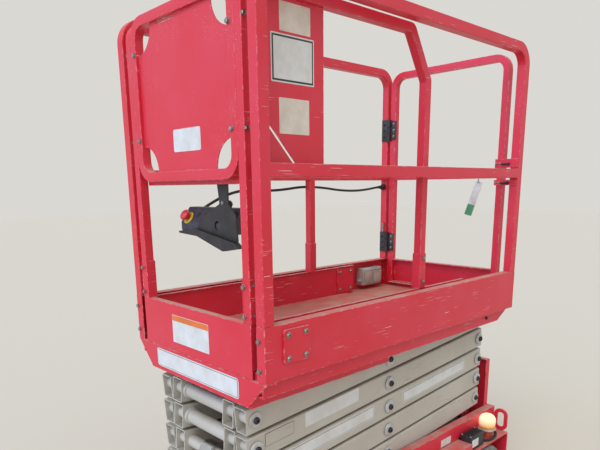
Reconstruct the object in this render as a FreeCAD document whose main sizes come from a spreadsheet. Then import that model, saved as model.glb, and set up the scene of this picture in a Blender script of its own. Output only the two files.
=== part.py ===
"""Electric slab scissor lift, stowed, with its guardrails up.

Millimetres.  +X is the front (the end that rolls out), +Y the machine's left side, +Z up.
The origin lies on the floor under the middle of the machine's overall box.
"""
import FreeCAD, Part
import math
import os
import re
import Sketcher
from FreeCAD import Placement, Rotation, Vector

doc = FreeCAD.newDocument("ScissorLift")
sheet = doc.addObject("Spreadsheet::Sheet", "Sizes")

# Driving sizes: name, value, what it measures
SIZES = (
    ("overall_length", 1540, "chassis tail to platform front"),
    ("platform_length", 1485, "main guardrails, front to rear"),
    ("platform_width", 760, "over the toe boards and the tyres"),
    ("toe_bottom", 920, "lower edge of the toe boards above the floor"),
    ("toe_height", 170, "toe board panel"),
    ("toe_sheet", 4, "toe board sheet"),
    ("toe_flange", 30, "folded top and foot of a toe board"),
    ("rail_rise", 1130, "top of the guardrails above the toe boards' foot"),
    ("mid_rise", 585, "underside of the mid rail above the toe boards' foot"),
    ("rail_tube", 38, "square tube of the main guardrails"),
    ("rail_bend", 90, "outer bend of the main guardrails"),
    ("floor_rise", 22, "walking surface above the toe boards' foot"),
    ("floor_sheet", 3, "floor plates"),
    ("floor_rib", 18, "depth of the cross members under the floor"),
    ("band_height", 50, "side channel below the toe board"),
    ("band_inset", 20, "side channel set in from the toe board"),
    ("band_cut", 95, "slant at the tail of the side channel"),
    ("apron_height", 95, "front apron below the toe board"),
    ("apron_cut", 90, "slant at each end of the apron"),
    ("apron_sheet", 5, "apron plate"),
    ("arm_length", 1369, "scissor arm, pin to pin"),
    ("stow_rise", 100, "height of one scissor level when stowed"),
    ("base_pin_rise", 358, "lowest pivot above the floor"),
    ("rear_pin_back", 650, "rear pivots behind the middle"),
    ("arm_height", 90, "scissor arm tube, height"),
    ("arm_width", 60, "scissor arm tube, width"),
    ("arm_wall", 4, "scissor arm tube, wall"),
    ("arm_radius", 7, "scissor arm tube, rounded edge"),
    ("outer_arm_in", 195, "inner face of the outer arms from the middle"),
    ("inner_arm_in", 127, "inner face of the inner arms from the middle"),
    ("front_over", 36, "arm beyond its front pin"),
    ("rear_over", 28, "arm beyond its rear pin"),
    ("pin_radius", 16, "pivot pins and shafts"),
    ("pin_play", 0.3, "radial play of a pivot"),
    ("boss_radius", 23, "bosses and cross tubes round the pins"),
    ("boss_proud", 3, "boss beyond the arm's face"),
    ("roller_radius", 28, "end rollers"),
    ("roller_in", 266, "inner face of the rollers"),
    ("roller_out", 290, "outer face of the rollers"),
    ("track_in", 262, "inner edge of the roller tracks"),
    ("track_sheet", 6, "roller track plate"),
    ("track_play", 1, "roller to track, above and below"),
    ("track_width", 40, "roller track, across"),
    ("chassis_front_gap", 25, "platform front to chassis front"),
    ("wheel_radius", 127, "tyre"),
    ("wheel_width", 76, "tyre"),
    ("rim_radius", 82, "wheel disc"),
    ("front_axle", 530, "steered wheels ahead of the middle"),
    ("rear_axle", 590, "fixed wheels behind the middle"),
    ("kingpin_in", 262, "kingpin from the middle"),
    ("kingpin_radius", 16, "kingpin"),
    ("belly", 80, "underside of the chassis above the floor"),
    ("body_side", 268, "chassis side plates from the middle"),
    ("neck_side", 185, "narrow chassis nose between the steered wheels"),
    ("body_front", 350, "front end of the wide chassis body"),
    ("plate", 6, "chassis plate"),
    ("pan_top", 290, "top of the chassis pan under the arms"),
    ("fender_top", 276, "top of the shelves over the wheels"),
    ("ladder_top", 665, "top of the entry ladder above the floor"),
    ("ladder_half", 250, "half width of the entry ladder"),
    ("extension_travel", 510, "roll-out of the front platform"),
    ("extension_half", 318, "half width of the roll-out rails"),
    ("extension_tube", 32, "square tube of the roll-out rails"),
    ("extension_back", 1150, "length of the roll-out toe boards"),
    ("extension_post", 800, "rear posts of the roll-out behind its front"),
    ("extension_drop", 30, "roll-out rail below the main rail"),
    ("gate_half", 330, "half width of the gate"),
    ("gate_tube", 30, "square tube of the gate"),
    ("gate_bend", 70, "outer bend of the gate's top corners"),
    ("gate_bend_inner", 40, "inner bend of the gate's top corners"),
    ("rail_bend_inner", 52, "inner bend of the main guardrails"),
    ("guard_bend_inner", 38, "inner bend of the front guard"),
    ("extension_bend", 60, "bend at the front top of the roll-out rails"),
    ("cable_size", 11, "control cable"),
    ("gate_rise", 45, "foot of the gate above the toe boards' foot"),
    ("gate_drop", 20, "top of the gate below the main rail"),
    ("hinge_play", 12, "gate edge to hinge post"),
    ("hinge_radius", 8, "gate hinge barrels"),
    ("hinge_height", 80, "gate hinge barrels"),
    ("hinge_low", 260, "lower gate hinge above the toe boards' foot"),
    ("hinge_high", 860, "upper gate hinge above the toe boards' foot"),
    ("slide_gap", 5, "roll-out floor above the main floor"),
    ("slant_run", 110, "slanted end of the roll-out rail, lengthways"),
    ("slant_drop", 170, "slanted end of the roll-out rail, height"),
    ("guard_bend", 70, "outer bend of the front guard"),
    ("guard_cut", 52, "round cut-outs at the corners of the front sheet"),
    ("guard_sheet", 3, "front and side sheets"),
    ("side_sheet_back", 290, "rear edge of the side sheet behind the front"),
    ("lift_share", 0.15, "cylinder foot along the lowest inner arm"),
    ("barrel_radius", 40, "lift cylinder barrel"),
    ("piston_radius", 25, "lift cylinder rod"),
    ("eye_radius", 38, "eyes of the lift cylinder"),
    ("eye_width", 60, "eyes of the lift cylinder"),
    ("barrel_end", 115, "barrel's mouth short of the rod's eye"),
    ("knuckle_half", 32, "half width of the knuckle plate"),
    ("steer_arm", 110, "kingpin to tie rod pin"),
    ("steer_arm_rise", 150, "steering arms above the floor"),
    ("tie_radius", 9, "tie rod"),
    ("tie_pin", 8, "tie rod pins"),
    ("axle_radius", 14, "wheel stub axles"),
    ("motor_radius", 62, "drive motors behind the rear wheels"),
    ("neck_belly", 185, "underside of the chassis nose"),
    ("cover_low", 100, "lower edge of the side covers"),
    ("cover_back", 440, "rear end of the side covers behind the middle"),
    ("cover_sheet", 3, "side covers"),
    ("loop_height", 112, "tie-down loops above the shelf"),
    ("loop_width", 70, "tie-down loops"),
    ("ring_bend", 32, "outer bend of the tie-down loops"),
    ("ring_hole_bend", 15, "inner bend of the tie-down loops"),
    ("tie_down_side", 226, "tie-down holes in the nose from the middle"),
    ("tie_down_rise", 240, "tie-down holes above the floor"),
    ("tie_down_radius", 14, "tie-down holes"),
    ("beacon_radius", 40, "flashing lamp"),
)
NAMES = {row[0] for row in SIZES}
for number, (alias, value, note) in enumerate(SIZES, start=1):
    sheet.set("A%d" % number, note)
    sheet.set("B%d" % number, str(value))
    sheet.setAlias("B%d" % number, alias)
doc.recompute()

pieces = []
serial = [0]


def bound(text):
    """The text as an expression, with each size name read from the sheet."""
    return re.sub(r"[a-z][a-z_0-9]*", lambda m: "Sizes." + m.group(0) if m.group(0) in NAMES else m.group(0),
                  str(text))


def fresh(kind, name="Step"):
    """A new object of the document with a serial name."""
    serial[0] += 1
    return doc.addObject(kind, "%s%03d" % (name, serial[0]))


def place(thing, x="0", y="0", z="0"):
    """Binds the position of a thing."""
    for axis, text in zip("xyz", (x, y, z)):
        thing.setExpression("Placement.Base." + axis, bound(text))
    return thing


def block(x0, x1, y0, y1, z0, z1):
    """A box from corner to corner."""
    box = fresh("Part::Box", "Block")
    for prop, low, high in (("Length", x0, x1), ("Width", y0, y1), ("Height", z0, z1)):
        box.setExpression(prop, bound("(%s) - (%s)" % (high, low)))
    return place(box, x0, y0, z0)


TURNS = {"x": Rotation(Vector(0, 1, 0), 90), "y": Rotation(Vector(1, 0, 0), -90), "z": Rotation()}


def rod(axis, x, y, z, radius, length):
    """A round bar that starts at a point and runs along +axis."""
    bar = fresh("Part::Cylinder", "Rod")
    bar.Placement = Placement(Vector(), TURNS[axis])
    bar.setExpression("Radius", bound(radius))
    bar.setExpression("Height", bound(length))
    return place(bar, x, y, z)


def cone(axis, x, y, z, radius1, radius2, length):
    """A round bar that tapers along +axis."""
    bar = fresh("Part::Cone", "Cone")
    bar.Placement = Placement(Vector(), TURNS[axis])
    bar.setExpression("Radius1", bound(radius1))
    bar.setExpression("Radius2", bound(radius2))
    bar.setExpression("Height", bound(length))
    return place(bar, x, y, z)


def fuse(parts):
    """Joined solids, as one weldment."""
    if len(parts) == 1:
        return parts[0]
    joined = fresh("Part::MultiFuse", "Weld")
    joined.Shapes = parts
    joined.Refine = True
    return joined


def cut(base, tools):
    """The base less its tools."""
    less = fresh("Part::Cut", "Cut")
    less.Base = base
    less.Tool = fuse(tools)
    less.Refine = True
    return less


def edges_along(shape, axis, spots=None):
    """Names of the straight edges along an axis, all or those through the given spots."""
    index = "xyz".index(axis)
    found = []
    for number, edge in enumerate(shape.Edges, start=1):
        if len(edge.Vertexes) != 2 or not isinstance(edge.Curve, Part.Line):
            continue
        a, b = edge.Vertexes[0].Point, edge.Vertexes[1].Point
        if any(abs(a[i] - b[i]) > 1e-6 for i in range(3) if i != index):
            continue
        flat = [a[i] for i in range(3) if i != index]
        if spots is None or any(abs(flat[0] - s[0]) < 0.01 and abs(flat[1] - s[1]) < 0.01 for s in spots):
            found.append(number)
    return found


def rounded(base, axis, radius, spots=None):
    """The base with its edges along an axis rounded."""
    doc.recompute()
    size = sheet.get(radius)
    soft = fresh("Part::Fillet", "Round")
    soft.Base = base
    soft.Edges = [(number, size, size) for number in edges_along(base.Shape, axis, spots)]
    return soft


def piece(label, thing):
    """Marks a thing as a finished sub-part."""
    thing.Label = label
    pieces.append((label, thing))
    return thing


def both(side, near, far):
    """Low and high bounds across the machine on one side (+1 left, -1 right)."""
    return (near, far) if side > 0 else ("-(%s)" % far, "-(%s)" % near)


def frame_sketch(name, plane, loops, offset):
    """A body with one sketch of closed loops, each a list of corners in the plane's own two axes."""
    body = doc.addObject("PartDesign::Body", name)
    sketch = body.newObject("Sketcher::SketchObject", name + "Outline")
    origin = [item for item in body.Origin.OriginFeatures if item.Role == plane][0]
    sketch.AttachmentSupport = [(origin, "")]
    sketch.MapMode = "FlatFace"
    sketch.setExpression("AttachmentOffset.Base.z", bound(offset))
    for loop in loops:
        first = sketch.GeometryCount
        count = len(loop)
        for number in range(count):
            spread = 10.0 * (number + 1)
            start = Vector(spread, number * number, 0)
            end = Vector(spread + 10, (number + 1) ** 2, 0)
            sketch.addGeometry(Part.LineSegment(start, end), False)
        for number in range(count):
            sketch.addConstraint(Sketcher.Constraint("Coincident", first + number, 2,
                                                     first + (number + 1) % count, 1))
        for number, (across, along) in enumerate(loop):
            for kind, text in (("DistanceX", across), ("DistanceY", along)):
                start = sheet_value(text)
                rule = sketch.addConstraint(Sketcher.Constraint(kind, -1, 1, first + number, 1, start))
                sketch.setExpression("Constraints[%d]" % rule, bound(text))
    return body


def frame_body(name, plane, loops, depth, offset):
    """A flat welded frame: an outline and its openings, padded to the tube's depth."""
    body = frame_sketch(name, plane, loops, offset)
    pad = body.newObject("PartDesign::Pad", name + "Pad")
    pad.Profile = body.Group[0]
    pad.setExpression("Length", bound(depth))
    return body


def sheet_value(text):
    """A start value for a sketch size, worked out by the sheet's own arithmetic."""
    probe = doc.getObject("Probe") or doc.addObject("App::FeaturePython", "Probe")
    if not hasattr(probe, "Worth"):
        probe.addProperty("App::PropertyFloat", "Worth")
    probe.setExpression("Worth", bound(text))
    probe.recompute()
    return probe.Worth


def turned(name, profile):
    """A body turned about the Y axis, from (y, radius) corners."""
    body = frame_sketch(name, "YZ_Plane", [profile], "0")
    turn = body.newObject("PartDesign::Revolution", name + "Turn")
    turn.Profile = body.Group[0]
    turn.ReferenceAxis = (body.Group[0], ["H_Axis"])
    turn.Angle = 360
    return body


FRONT = "(overall_length / 2)"
REAR = "(overall_length / 2 - platform_length)"
TAIL = "(-overall_length / 2)"
NOSE = "(overall_length / 2 - chassis_front_gap)"
HALF = "(platform_width / 2)"
TOE_TOP = "(toe_bottom + toe_height)"
RAIL_TOP = "(toe_bottom + rail_rise)"
MID_LOW = "(toe_bottom + mid_rise)"
MID_TOP = "(toe_bottom + mid_rise + rail_tube)"
FLOOR = "(toe_bottom + floor_rise)"
FLOOR_LOW = "(toe_bottom + floor_rise - floor_sheet)"
RUN = "sqrt(arm_length * arm_length - stow_rise * stow_rise)"
SLOPE = "asin(stow_rise / arm_length)"
PIN_X = "(-rear_pin_back)"
INNER_OUT = "(inner_arm_in + arm_width)"
OUTER_OUT = "(outer_arm_in + arm_width)"
BORE = "(pin_radius + pin_play)"
LEVELS = 5
SIDES = (("left", 1), ("right", -1))


def slope_about(thing, x, z, angle):
    """Tilts a piece about the Y axis at a pin and puts it there."""
    thing.Placement = Placement(Vector(), Rotation(Vector(0, 1, 0), 1))
    thing.setExpression("Placement.Rotation.Angle", bound(angle))
    return place(thing, x, "0", z)


def arm_tube(inner_face, side):
    """One hollow rectangular arm with open ends, along X from its rear pin."""
    low, high = both(side, inner_face, inner_face + " + arm_width")
    shell = block("-rear_over", "arm_length + front_over", low, high, "-arm_height / 2", "arm_height / 2")
    shell = rounded(shell, "x", "arm_radius")
    hollow = block("-rear_over - 1", "arm_length + front_over + 1", low + " + arm_wall", high + " - arm_wall",
                   "-arm_height / 2 + arm_wall", "arm_height / 2 - arm_wall")
    return cut(shell, [hollow])


def across(x, radius, reach):
    """A round bar right across the machine at a distance along the arm."""
    return rod("y", x, "-(%s)" % reach, "0", radius, "2 * (%s)" % reach)


def spool(x, side, near, far, radius):
    """A round boss on one side, from one distance off the middle to another."""
    low, high = both(side, near, far)
    return rod("y", x, low, "0", radius, "(%s) - (%s)" % (high, low))


def inner_arms(level):
    """The inner pair of one level: two tubes, a cross tube round each end pin, centre stubs."""
    rear_x, mid_x, front_x = "0", "arm_length / 2", "arm_length"
    solids = [arm_tube("inner_arm_in", side) for name, side in SIDES]
    solids += [across(x, "boss_radius", INNER_OUT + " + boss_proud") for x in (rear_x, front_x)]
    for name, side in SIDES:
        solids.append(spool(mid_x, side, "inner_arm_in", OUTER_OUT + " + boss_proud", "pin_radius"))
    if level == 1:
        solids.append(across("lift_share * arm_length", "boss_radius", "inner_arm_in + arm_wall"))
    bores = [across(rear_x, BORE, INNER_OUT + " + 10")]
    if level < LEVELS:
        bores.append(across(front_x, BORE, INNER_OUT + " + 10"))
    pair = cut(fuse(solids), bores)
    if level == LEVELS:
        pair = fuse([pair] + roller_axle(front_x))
    height = "base_pin_rise + %d * stow_rise" % (level - 1)
    return piece("inner_arms_%d" % level, slope_about(pair, PIN_X, height, "-" + SLOPE))


def roller_axle(x):
    """The long axle at a sliding end, with its two rollers."""
    solids = [across(x, "pin_radius", "roller_out")]
    for name, side in SIDES:
        solids.append(spool(x, side, "roller_in", "roller_out", "roller_radius"))
    return solids


def outer_arms(level):
    """The outer pair of one level: two tubes joined by the shafts at their ends."""
    rear_x, mid_x, front_x = "0", "arm_length / 2", "arm_length"
    solids = [arm_tube("outer_arm_in", side) for name, side in SIDES]
    for name, side in SIDES:
        for x in (rear_x, mid_x, front_x):
            solids.append(spool(x, side, "outer_arm_in - boss_proud", OUTER_OUT + " + boss_proud", "boss_radius"))
    solids.append(across(rear_x, "pin_radius", OUTER_OUT + " + boss_proud"))
    if level == 1:
        solids += roller_axle(front_x)
        solids.append(across(front_x, "boss_radius", "outer_arm_in"))
    else:
        solids.append(across(front_x, "pin_radius", OUTER_OUT + " + boss_proud"))
    bores = [spool(mid_x, side, "outer_arm_in - 10", OUTER_OUT + " + 10", BORE) for name, side in SIDES]
    pair = cut(fuse(solids), bores)
    height = "base_pin_rise + %d * stow_rise" % level
    return piece("outer_arms_%d" % level, slope_about(pair, PIN_X, height, SLOPE))


for level in range(1, LEVELS + 1):
    inner_arms(level)
    outer_arms(level)

# Lift cylinder: from the lowest inner arms up to the second level's front cross tube
LIFT_RUN = "((1 - lift_share) * %s)" % RUN
LIFT_RISE = "((2 - lift_share) * stow_rise)"
LIFT_LENGTH = "sqrt(%s * %s + %s * %s)" % (LIFT_RUN, LIFT_RUN, LIFT_RISE, LIFT_RISE)
LIFT_ANGLE = "-atan(%s / %s)" % (LIFT_RISE, LIFT_RUN)
LIFT_X = "-rear_pin_back + lift_share * " + RUN
LIFT_Z = "base_pin_rise + lift_share * stow_rise"


def lift_eye(x):
    """An eye round a cross tube, with its running bore as the second value."""
    ring = rod("y", x, "-eye_width / 2", "0", "eye_radius", "eye_width")
    bore = rod("y", x, "-barrel_radius - 1", "0", "boss_radius + pin_play", "2 * barrel_radius + 2")
    return ring, bore


ring, bore = lift_eye("0")
tube = rod("x", "0", "0", "0", "barrel_radius", LIFT_LENGTH + " - barrel_end")
well = rod("x", "eye_radius + 45", "0", "0", "piston_radius + pin_play", LIFT_LENGTH)
piece("lift_barrel", slope_about(cut(fuse([ring, tube]), [bore, well]), LIFT_X, LIFT_Z, LIFT_ANGLE))
ring, bore = lift_eye(LIFT_LENGTH)
bar = rod("x", "eye_radius + 50", "0", "0", "piston_radius", LIFT_LENGTH + " - eye_radius - 50")
piece("lift_rod", slope_about(cut(fuse([ring, bar]), [bore]), LIFT_X, LIFT_Z, LIFT_ANGLE))

# Chassis
RAIL_IN_LOW = "(base_pin_rise - roller_radius - track_play)"
RAIL_IN_TOP = "(base_pin_rise + roller_radius + track_play)"
RAIL_LOW = "(base_pin_rise - roller_radius - track_play - track_sheet)"
RAIL_HIGH = "(base_pin_rise + roller_radius + track_play + track_sheet)"
TRACK_OUT = "(track_in + track_width)"


def track(side, x0, x1, middle):
    """A channel that holds a roller: web outside, open to the middle."""
    reach = "(roller_radius + track_play)"
    low, high = both(side, "track_in", TRACK_OUT)
    web0, web1 = both(side, TRACK_OUT + " - track_sheet", TRACK_OUT)
    foot = "%s - %s" % (middle, reach)
    head = "%s + %s" % (middle, reach)
    return [block(x0, x1, web0, web1, foot + " - track_sheet", head + " + track_sheet"),
            block(x0, x1, low, high, foot + " - track_sheet", foot),
            block(x0, x1, low, high, head, head + " + track_sheet")]


def roller_channels():
    """The two channels on top of the chassis that the lowest rollers run in, with end stops."""
    channels = []
    for name, side in SIDES:
        low, high = both(side, "track_in", TRACK_OUT)
        stops = [block(x, x + " + plate", low, high, RAIL_LOW, RAIL_HIGH) for x in (TAIL, NOSE)]
        channels.append(fuse(track(side, TAIL, NOSE, "base_pin_rise") + stops))
    return piece("roller_channels", fuse(channels))


def rear_pivot():
    """Two brackets on the pan and the shaft that carries the lowest inner arms."""
    solids = [rod("y", PIN_X, "-outer_arm_in - 25", "base_pin_rise", "pin_radius", "2 * (outer_arm_in + 25)")]
    for name, side in SIDES:
        low, high = both(side, "outer_arm_in + 5", "outer_arm_in + 17")
        solids.append(block(PIN_X + " - 35", PIN_X + " + 35", low, high, "pan_top", "base_pin_rise + 30"))
    return piece("rear_pivot", fuse(solids))


def chassis():
    """A plate body with a narrow nose between the steered wheels and shelves over the wheels."""
    solids = []
    for name, side in SIDES:
        low, high = both(side, "body_side - plate", "body_side")
        solids.append(block(TAIL, "body_front", low, high, "belly", RAIL_LOW))
        solids.append(block("body_front", NOSE, low, high, "pan_top - plate", RAIL_LOW))
        low, high = both(side, "neck_side - plate", "neck_side")
        solids.append(block("body_front", NOSE, low, high, "neck_belly", "pan_top - plate"))
        low, high = both(side, "body_side", HALF)
        solids.append(block(TAIL, "-rear_axle + wheel_radius + 20", low, high, "fender_top - plate", "fender_top"))
        solids.append(block("front_axle - wheel_radius - 20", NOSE, low, high, "fender_top - plate", "fender_top"))
        solids.append(block(TAIL, TAIL + " + plate", low, high, "belly + 60", "fender_top"))
        solids.append(rod("z", "front_axle", "%d * kingpin_in" % side, "pan_top - 28", "24", "32"))
    solids.append(block(TAIL, NOSE, "-body_side", "body_side", "pan_top - plate", "pan_top"))
    solids.append(block(TAIL, "body_front", "-body_side", "body_side", "belly", "belly + plate"))
    solids.append(block("body_front - plate", "body_front", "-body_side", "body_side", "belly", "pan_top"))
    solids.append(block(TAIL, TAIL + " + plate", "-" + TRACK_OUT, TRACK_OUT, "belly", RAIL_LOW))
    solids.append(block(TAIL, TAIL + " + plate", "-track_in", "track_in", RAIL_LOW, RAIL_HIGH))
    solids.append(block(NOSE + " - plate", NOSE, "-" + TRACK_OUT, TRACK_OUT, "neck_belly", "pan_top"))
    solids.append(block("body_front", NOSE, "-neck_side", "neck_side", "neck_belly", "neck_belly + plate"))
    bores = [rod("z", "front_axle", "%d * kingpin_in" % side, "pan_top - 40", "kingpin_radius + pin_play",
                 RAIL_LOW + " - pan_top + 40") for name, side in SIDES]
    bores += [rod("x", NOSE + " - 20", "%d * tie_down_side" % side, "tie_down_rise", "tie_down_radius", "40")
              for name, side in SIDES]
    return piece("chassis_frame", cut(fuse(solids), bores))


chassis()
roller_channels()
rear_pivot()
piece("battery_pack", block("-cover_back + 40", "body_front - 60", "-body_side + 30", "body_side - 30",
                            "belly + plate", "pan_top - plate - 15"))

for name, side in SIDES:
    near, far = "body_side", HALF + " - 4"
    low, high = both(side, far + " - cover_sheet", far)
    skin = block("-cover_back", "body_front - 10", low, high, "cover_low", RAIL_LOW + " - 3")
    low, high = both(side, near, far)
    top = block("-cover_back", "body_front - 10", low, high, RAIL_LOW + " - 3 - cover_sheet", RAIL_LOW + " - 3")
    foot = block("-cover_back", "body_front - 10", low, high, "cover_low", "cover_low + cover_sheet")
    ends = [block("-cover_back", "-cover_back + cover_sheet", low, high, "cover_low", RAIL_LOW + " - 3"),
            block("body_front - 10 - cover_sheet", "body_front - 10", low, high, "cover_low", RAIL_LOW + " - 3")]
    piece("side_cover_" + name, fuse([skin, top, foot] + ends))

guards = []
for name, side in SIDES:
    low, high = both(side, HALF + " - 30", HALF + " - 20")
    guards.append(block("-cover_back + 20", "body_front - 30", low, high, "cover_low - 45", "cover_low"))
    low, high = both(side, "body_side - 20", HALF + " - 20")
    for x in ("-cover_back + 60", "body_front - 100"):
        guards.append(block(x, x + " + 40", low, high, "belly - 8", "belly"))
piece("pothole_guards", fuse(guards))

drives = []
for name, side in SIDES:
    low, high = both(side, "body_side", HALF + " - wheel_width - 6")
    drives.append(rod("y", "-rear_axle", low, "wheel_radius", "motor_radius", "(%s) - (%s)" % (high, low)))
    low, high = both(side, "body_side", HALF + " - 10")
    drives.append(rod("y", "-rear_axle", low, "wheel_radius", "axle_radius", "(%s) - (%s)" % (high, low)))
piece("drive_units", fuse(drives))

# Entry ladder at the tail: a folded sheet with two foot openings
steps = block(TAIL + " + plate", TAIL + " + plate + 30", "-ladder_half", "ladder_half", RAIL_HIGH, "ladder_top")
back = block(TAIL + " + plate + 4", TAIL + " + plate + 31", "-ladder_half + 4", "ladder_half - 4",
             RAIL_HIGH + " - 1", "ladder_top - 4")
holes = [block(TAIL, TAIL + " + 60", "-ladder_half + 60", "ladder_half - 60", low, low + " + 75")
         for low in (RAIL_HIGH + " + 30", RAIL_HIGH + " + 150")]
piece("entry_ladder", cut(steps, [back] + holes))

loops = []
for name, side in SIDES:
    low, high = both(side, HALF + " - 5 - loop_width", HALF + " - 5")
    sheet_loop = rounded(block(TAIL, TAIL + " + 8", low, high, "fender_top", "fender_top + loop_height"), "x",
                         "ring_bend", None)
    hole = rounded(block(TAIL + " - 1", TAIL + " + 9", low + " + 18", high + " - 18", "fender_top + 20",
                         "fender_top + loop_height - 18"), "x", "ring_hole_bend", None)
    loops.append(cut(sheet_loop, [hole]))
piece("corner_loops", fuse(loops))

BEACON_X, BEACON_Y = TAIL + " + 75", HALF + " - 45"
base = rod("z", BEACON_X, BEACON_Y, "fender_top", "beacon_radius", "18")
dome = cone("z", BEACON_X, BEACON_Y, "fender_top + 18", "beacon_radius - 4", "beacon_radius - 12", "42")
piece("beacon", fuse([base, dome]))
piece("charger_box", block(TAIL + " + 170", TAIL + " + 290", HALF + " - 70", HALF + " - 14", "fender_top",
                           "fender_top + 62"))

# Steering: knuckles on kingpins, one tie rod
for name, side in SIDES:
    pin_y = "%d * kingpin_in" % side
    low, high = both(side, "kingpin_in - 20", "kingpin_in + 26")
    top = "pan_top - 30"
    kingpin = rod("z", "front_axle", pin_y, top + " - 10", "kingpin_radius", "42")
    plate = block("front_axle - knuckle_half", "front_axle + knuckle_half", low, high,
                  "wheel_radius - knuckle_half", top)
    low, high = both(side, "kingpin_in", HALF + " - 10")
    stub = rod("y", "front_axle", low, "wheel_radius", "axle_radius", "(%s) - (%s)" % (high, low))
    arm_low = "steer_arm_rise"
    arm = block("front_axle - steer_arm", "front_axle", pin_y + " - 14", pin_y + " + 14", arm_low, arm_low + " + 12")
    arm_end = rod("z", "front_axle - steer_arm", pin_y, arm_low, "14", "12")
    pin = rod("z", "front_axle - steer_arm", pin_y, arm_low + " - 22", "tie_pin", "23")
    piece("knuckle_" + name, fuse([kingpin, plate, stub, arm, arm_end, pin]))

TIE_Z = "steer_arm_rise - 12"
tie = rod("y", "front_axle - steer_arm", "-kingpin_in", TIE_Z, "tie_radius", "2 * kingpin_in")
eyes = [rod("z", "front_axle - steer_arm", "%d * kingpin_in" % side, TIE_Z + " - 11", "15", "22")
        for name, side in SIDES]
bores = [rod("z", "front_axle - steer_arm", "%d * kingpin_in" % side, TIE_Z + " - 12", "tie_pin + pin_play", "24")
         for name, side in SIDES]
piece("tie_rod", cut(fuse([tie] + eyes), bores))

# Wheels: a solid tyre with rounded shoulders on a dished disc
TYRE = [("-wheel_width / 2", "rim_radius"), ("wheel_width / 2", "rim_radius"),
        ("wheel_width / 2", "wheel_radius - 14"), ("wheel_width / 2 - 4", "wheel_radius - 5"),
        ("wheel_width / 2 - 13", "wheel_radius"), ("-wheel_width / 2 + 13", "wheel_radius"),
        ("-wheel_width / 2 + 4", "wheel_radius - 5"), ("-wheel_width / 2", "wheel_radius - 14")]
RIM = [("-wheel_width / 2 + 4", "axle_radius + pin_play"), ("wheel_width / 2 - 8", "axle_radius + pin_play"),
       ("wheel_width / 2 - 8", "36"), ("wheel_width / 2 - 18", "44"),
       ("wheel_width / 2 - 22", "rim_radius - 12"), ("wheel_width / 2 - 4", "rim_radius - 5"),
       ("wheel_width / 2 - 4", "rim_radius"), ("-wheel_width / 2 + 4", "rim_radius"),
       ("-wheel_width / 2 + 4", "rim_radius - 5"), ("-wheel_width / 2 + 22", "rim_radius - 12"),
       ("-wheel_width / 2 + 22", "36"), ("-wheel_width / 2 + 4", "36")]
for axle, x in (("front", "front_axle"), ("rear", "-rear_axle")):
    for name, side in SIDES:
        for label, profile in (("tyre", TYRE), ("rim", RIM)):
            profile = [(("%d * (%s)" % (side, y)), r) for y, r in profile]
            body = turned("%s_%s_%s" % (label, axle, name), profile)
            place(body, x, "%d * (platform_width / 2 - wheel_width / 2)" % side, "wheel_radius")
            piece("%s_%s_%s" % (label, axle, name), body)

# Platform
TOP_PIN = "(base_pin_rise + %d * stow_rise)" % LEVELS


def platform_deck():
    """Floor plate with ribs, side channels, front apron, roller tracks and rear pivot plates."""
    wall = HALF + " - toe_sheet"
    solids = [block(REAR + " + toe_sheet", FRONT + " - 12", "-(%s)" % wall, wall, FLOOR_LOW, FLOOR)]
    for step in (0.04, 0.28, 0.52, 0.76, 0.965):
        x = "%s + %s * platform_length" % (REAR, step)
        solids.append(block(x + " - 20", x + " + 20", "-(%s)" % wall, wall, FLOOR_LOW + " - floor_rib", FLOOR_LOW))
    for name, side in SIDES:
        outer = HALF + " - band_inset"
        outline = [(REAR + " + toe_sheet + 1", "toe_bottom - 1"), (REAR + " + band_cut", "toe_bottom - band_height"),
                   (FRONT + " - apron_sheet", "toe_bottom - band_height"), (FRONT + " - apron_sheet", FLOOR_LOW),
                   (REAR + " + toe_sheet + 1", FLOOR_LOW)]
        offset = "-(%s)" % (outer if side > 0 else "-(%s) + 5" % outer)
        solids.append(frame_body("SideBand" + name, "XZ_Plane", [outline], "5", offset))
        low, high = both(side, outer + " - 28", outer)
        solids.append(block(REAR + " + band_cut", FRONT + " - apron_sheet", low, high, "toe_bottom - band_height",
                            "toe_bottom - band_height + 5"))
        solids += track(side, "100", FRONT + " - apron_sheet", TOP_PIN)
        low, high = both(side, TRACK_OUT + " - track_sheet", TRACK_OUT)
        solids.append(block("100", FRONT + " - apron_sheet", low, high, TOP_PIN, FLOOR_LOW))
        low, high = both(side, "inner_arm_in + 20", "inner_arm_in + 34")
        hanger = block(PIN_X + " - 30", PIN_X + " + 30", low, high, TOP_PIN + " - 30", FLOOR_LOW)
        solids.append(hanger)
    apron = [(HALF, "toe_bottom - 1"), (HALF + " - apron_cut", "toe_bottom - apron_height"),
             ("-%s + apron_cut" % HALF, "toe_bottom - apron_height"), ("-" + HALF, "toe_bottom - 1")]
    solids.append(frame_body("Apron", "YZ_Plane", [apron], "apron_sheet", FRONT + " - apron_sheet"))
    shelf = block(FRONT + " - 40", FRONT + " - 12", "-(%s)" % wall, wall, "toe_bottom - 6", FLOOR_LOW)
    lip = block(FRONT + " - 40", FRONT, "-" + HALF, HALF, "toe_bottom - 6", "toe_bottom - 1")
    bores = [rod("y", PIN_X, "-inner_arm_in - 60", TOP_PIN, BORE, "2 * inner_arm_in + 120")]
    return piece("platform_deck", cut(fuse(solids + [shelf, lip]), bores))


platform_deck()

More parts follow.
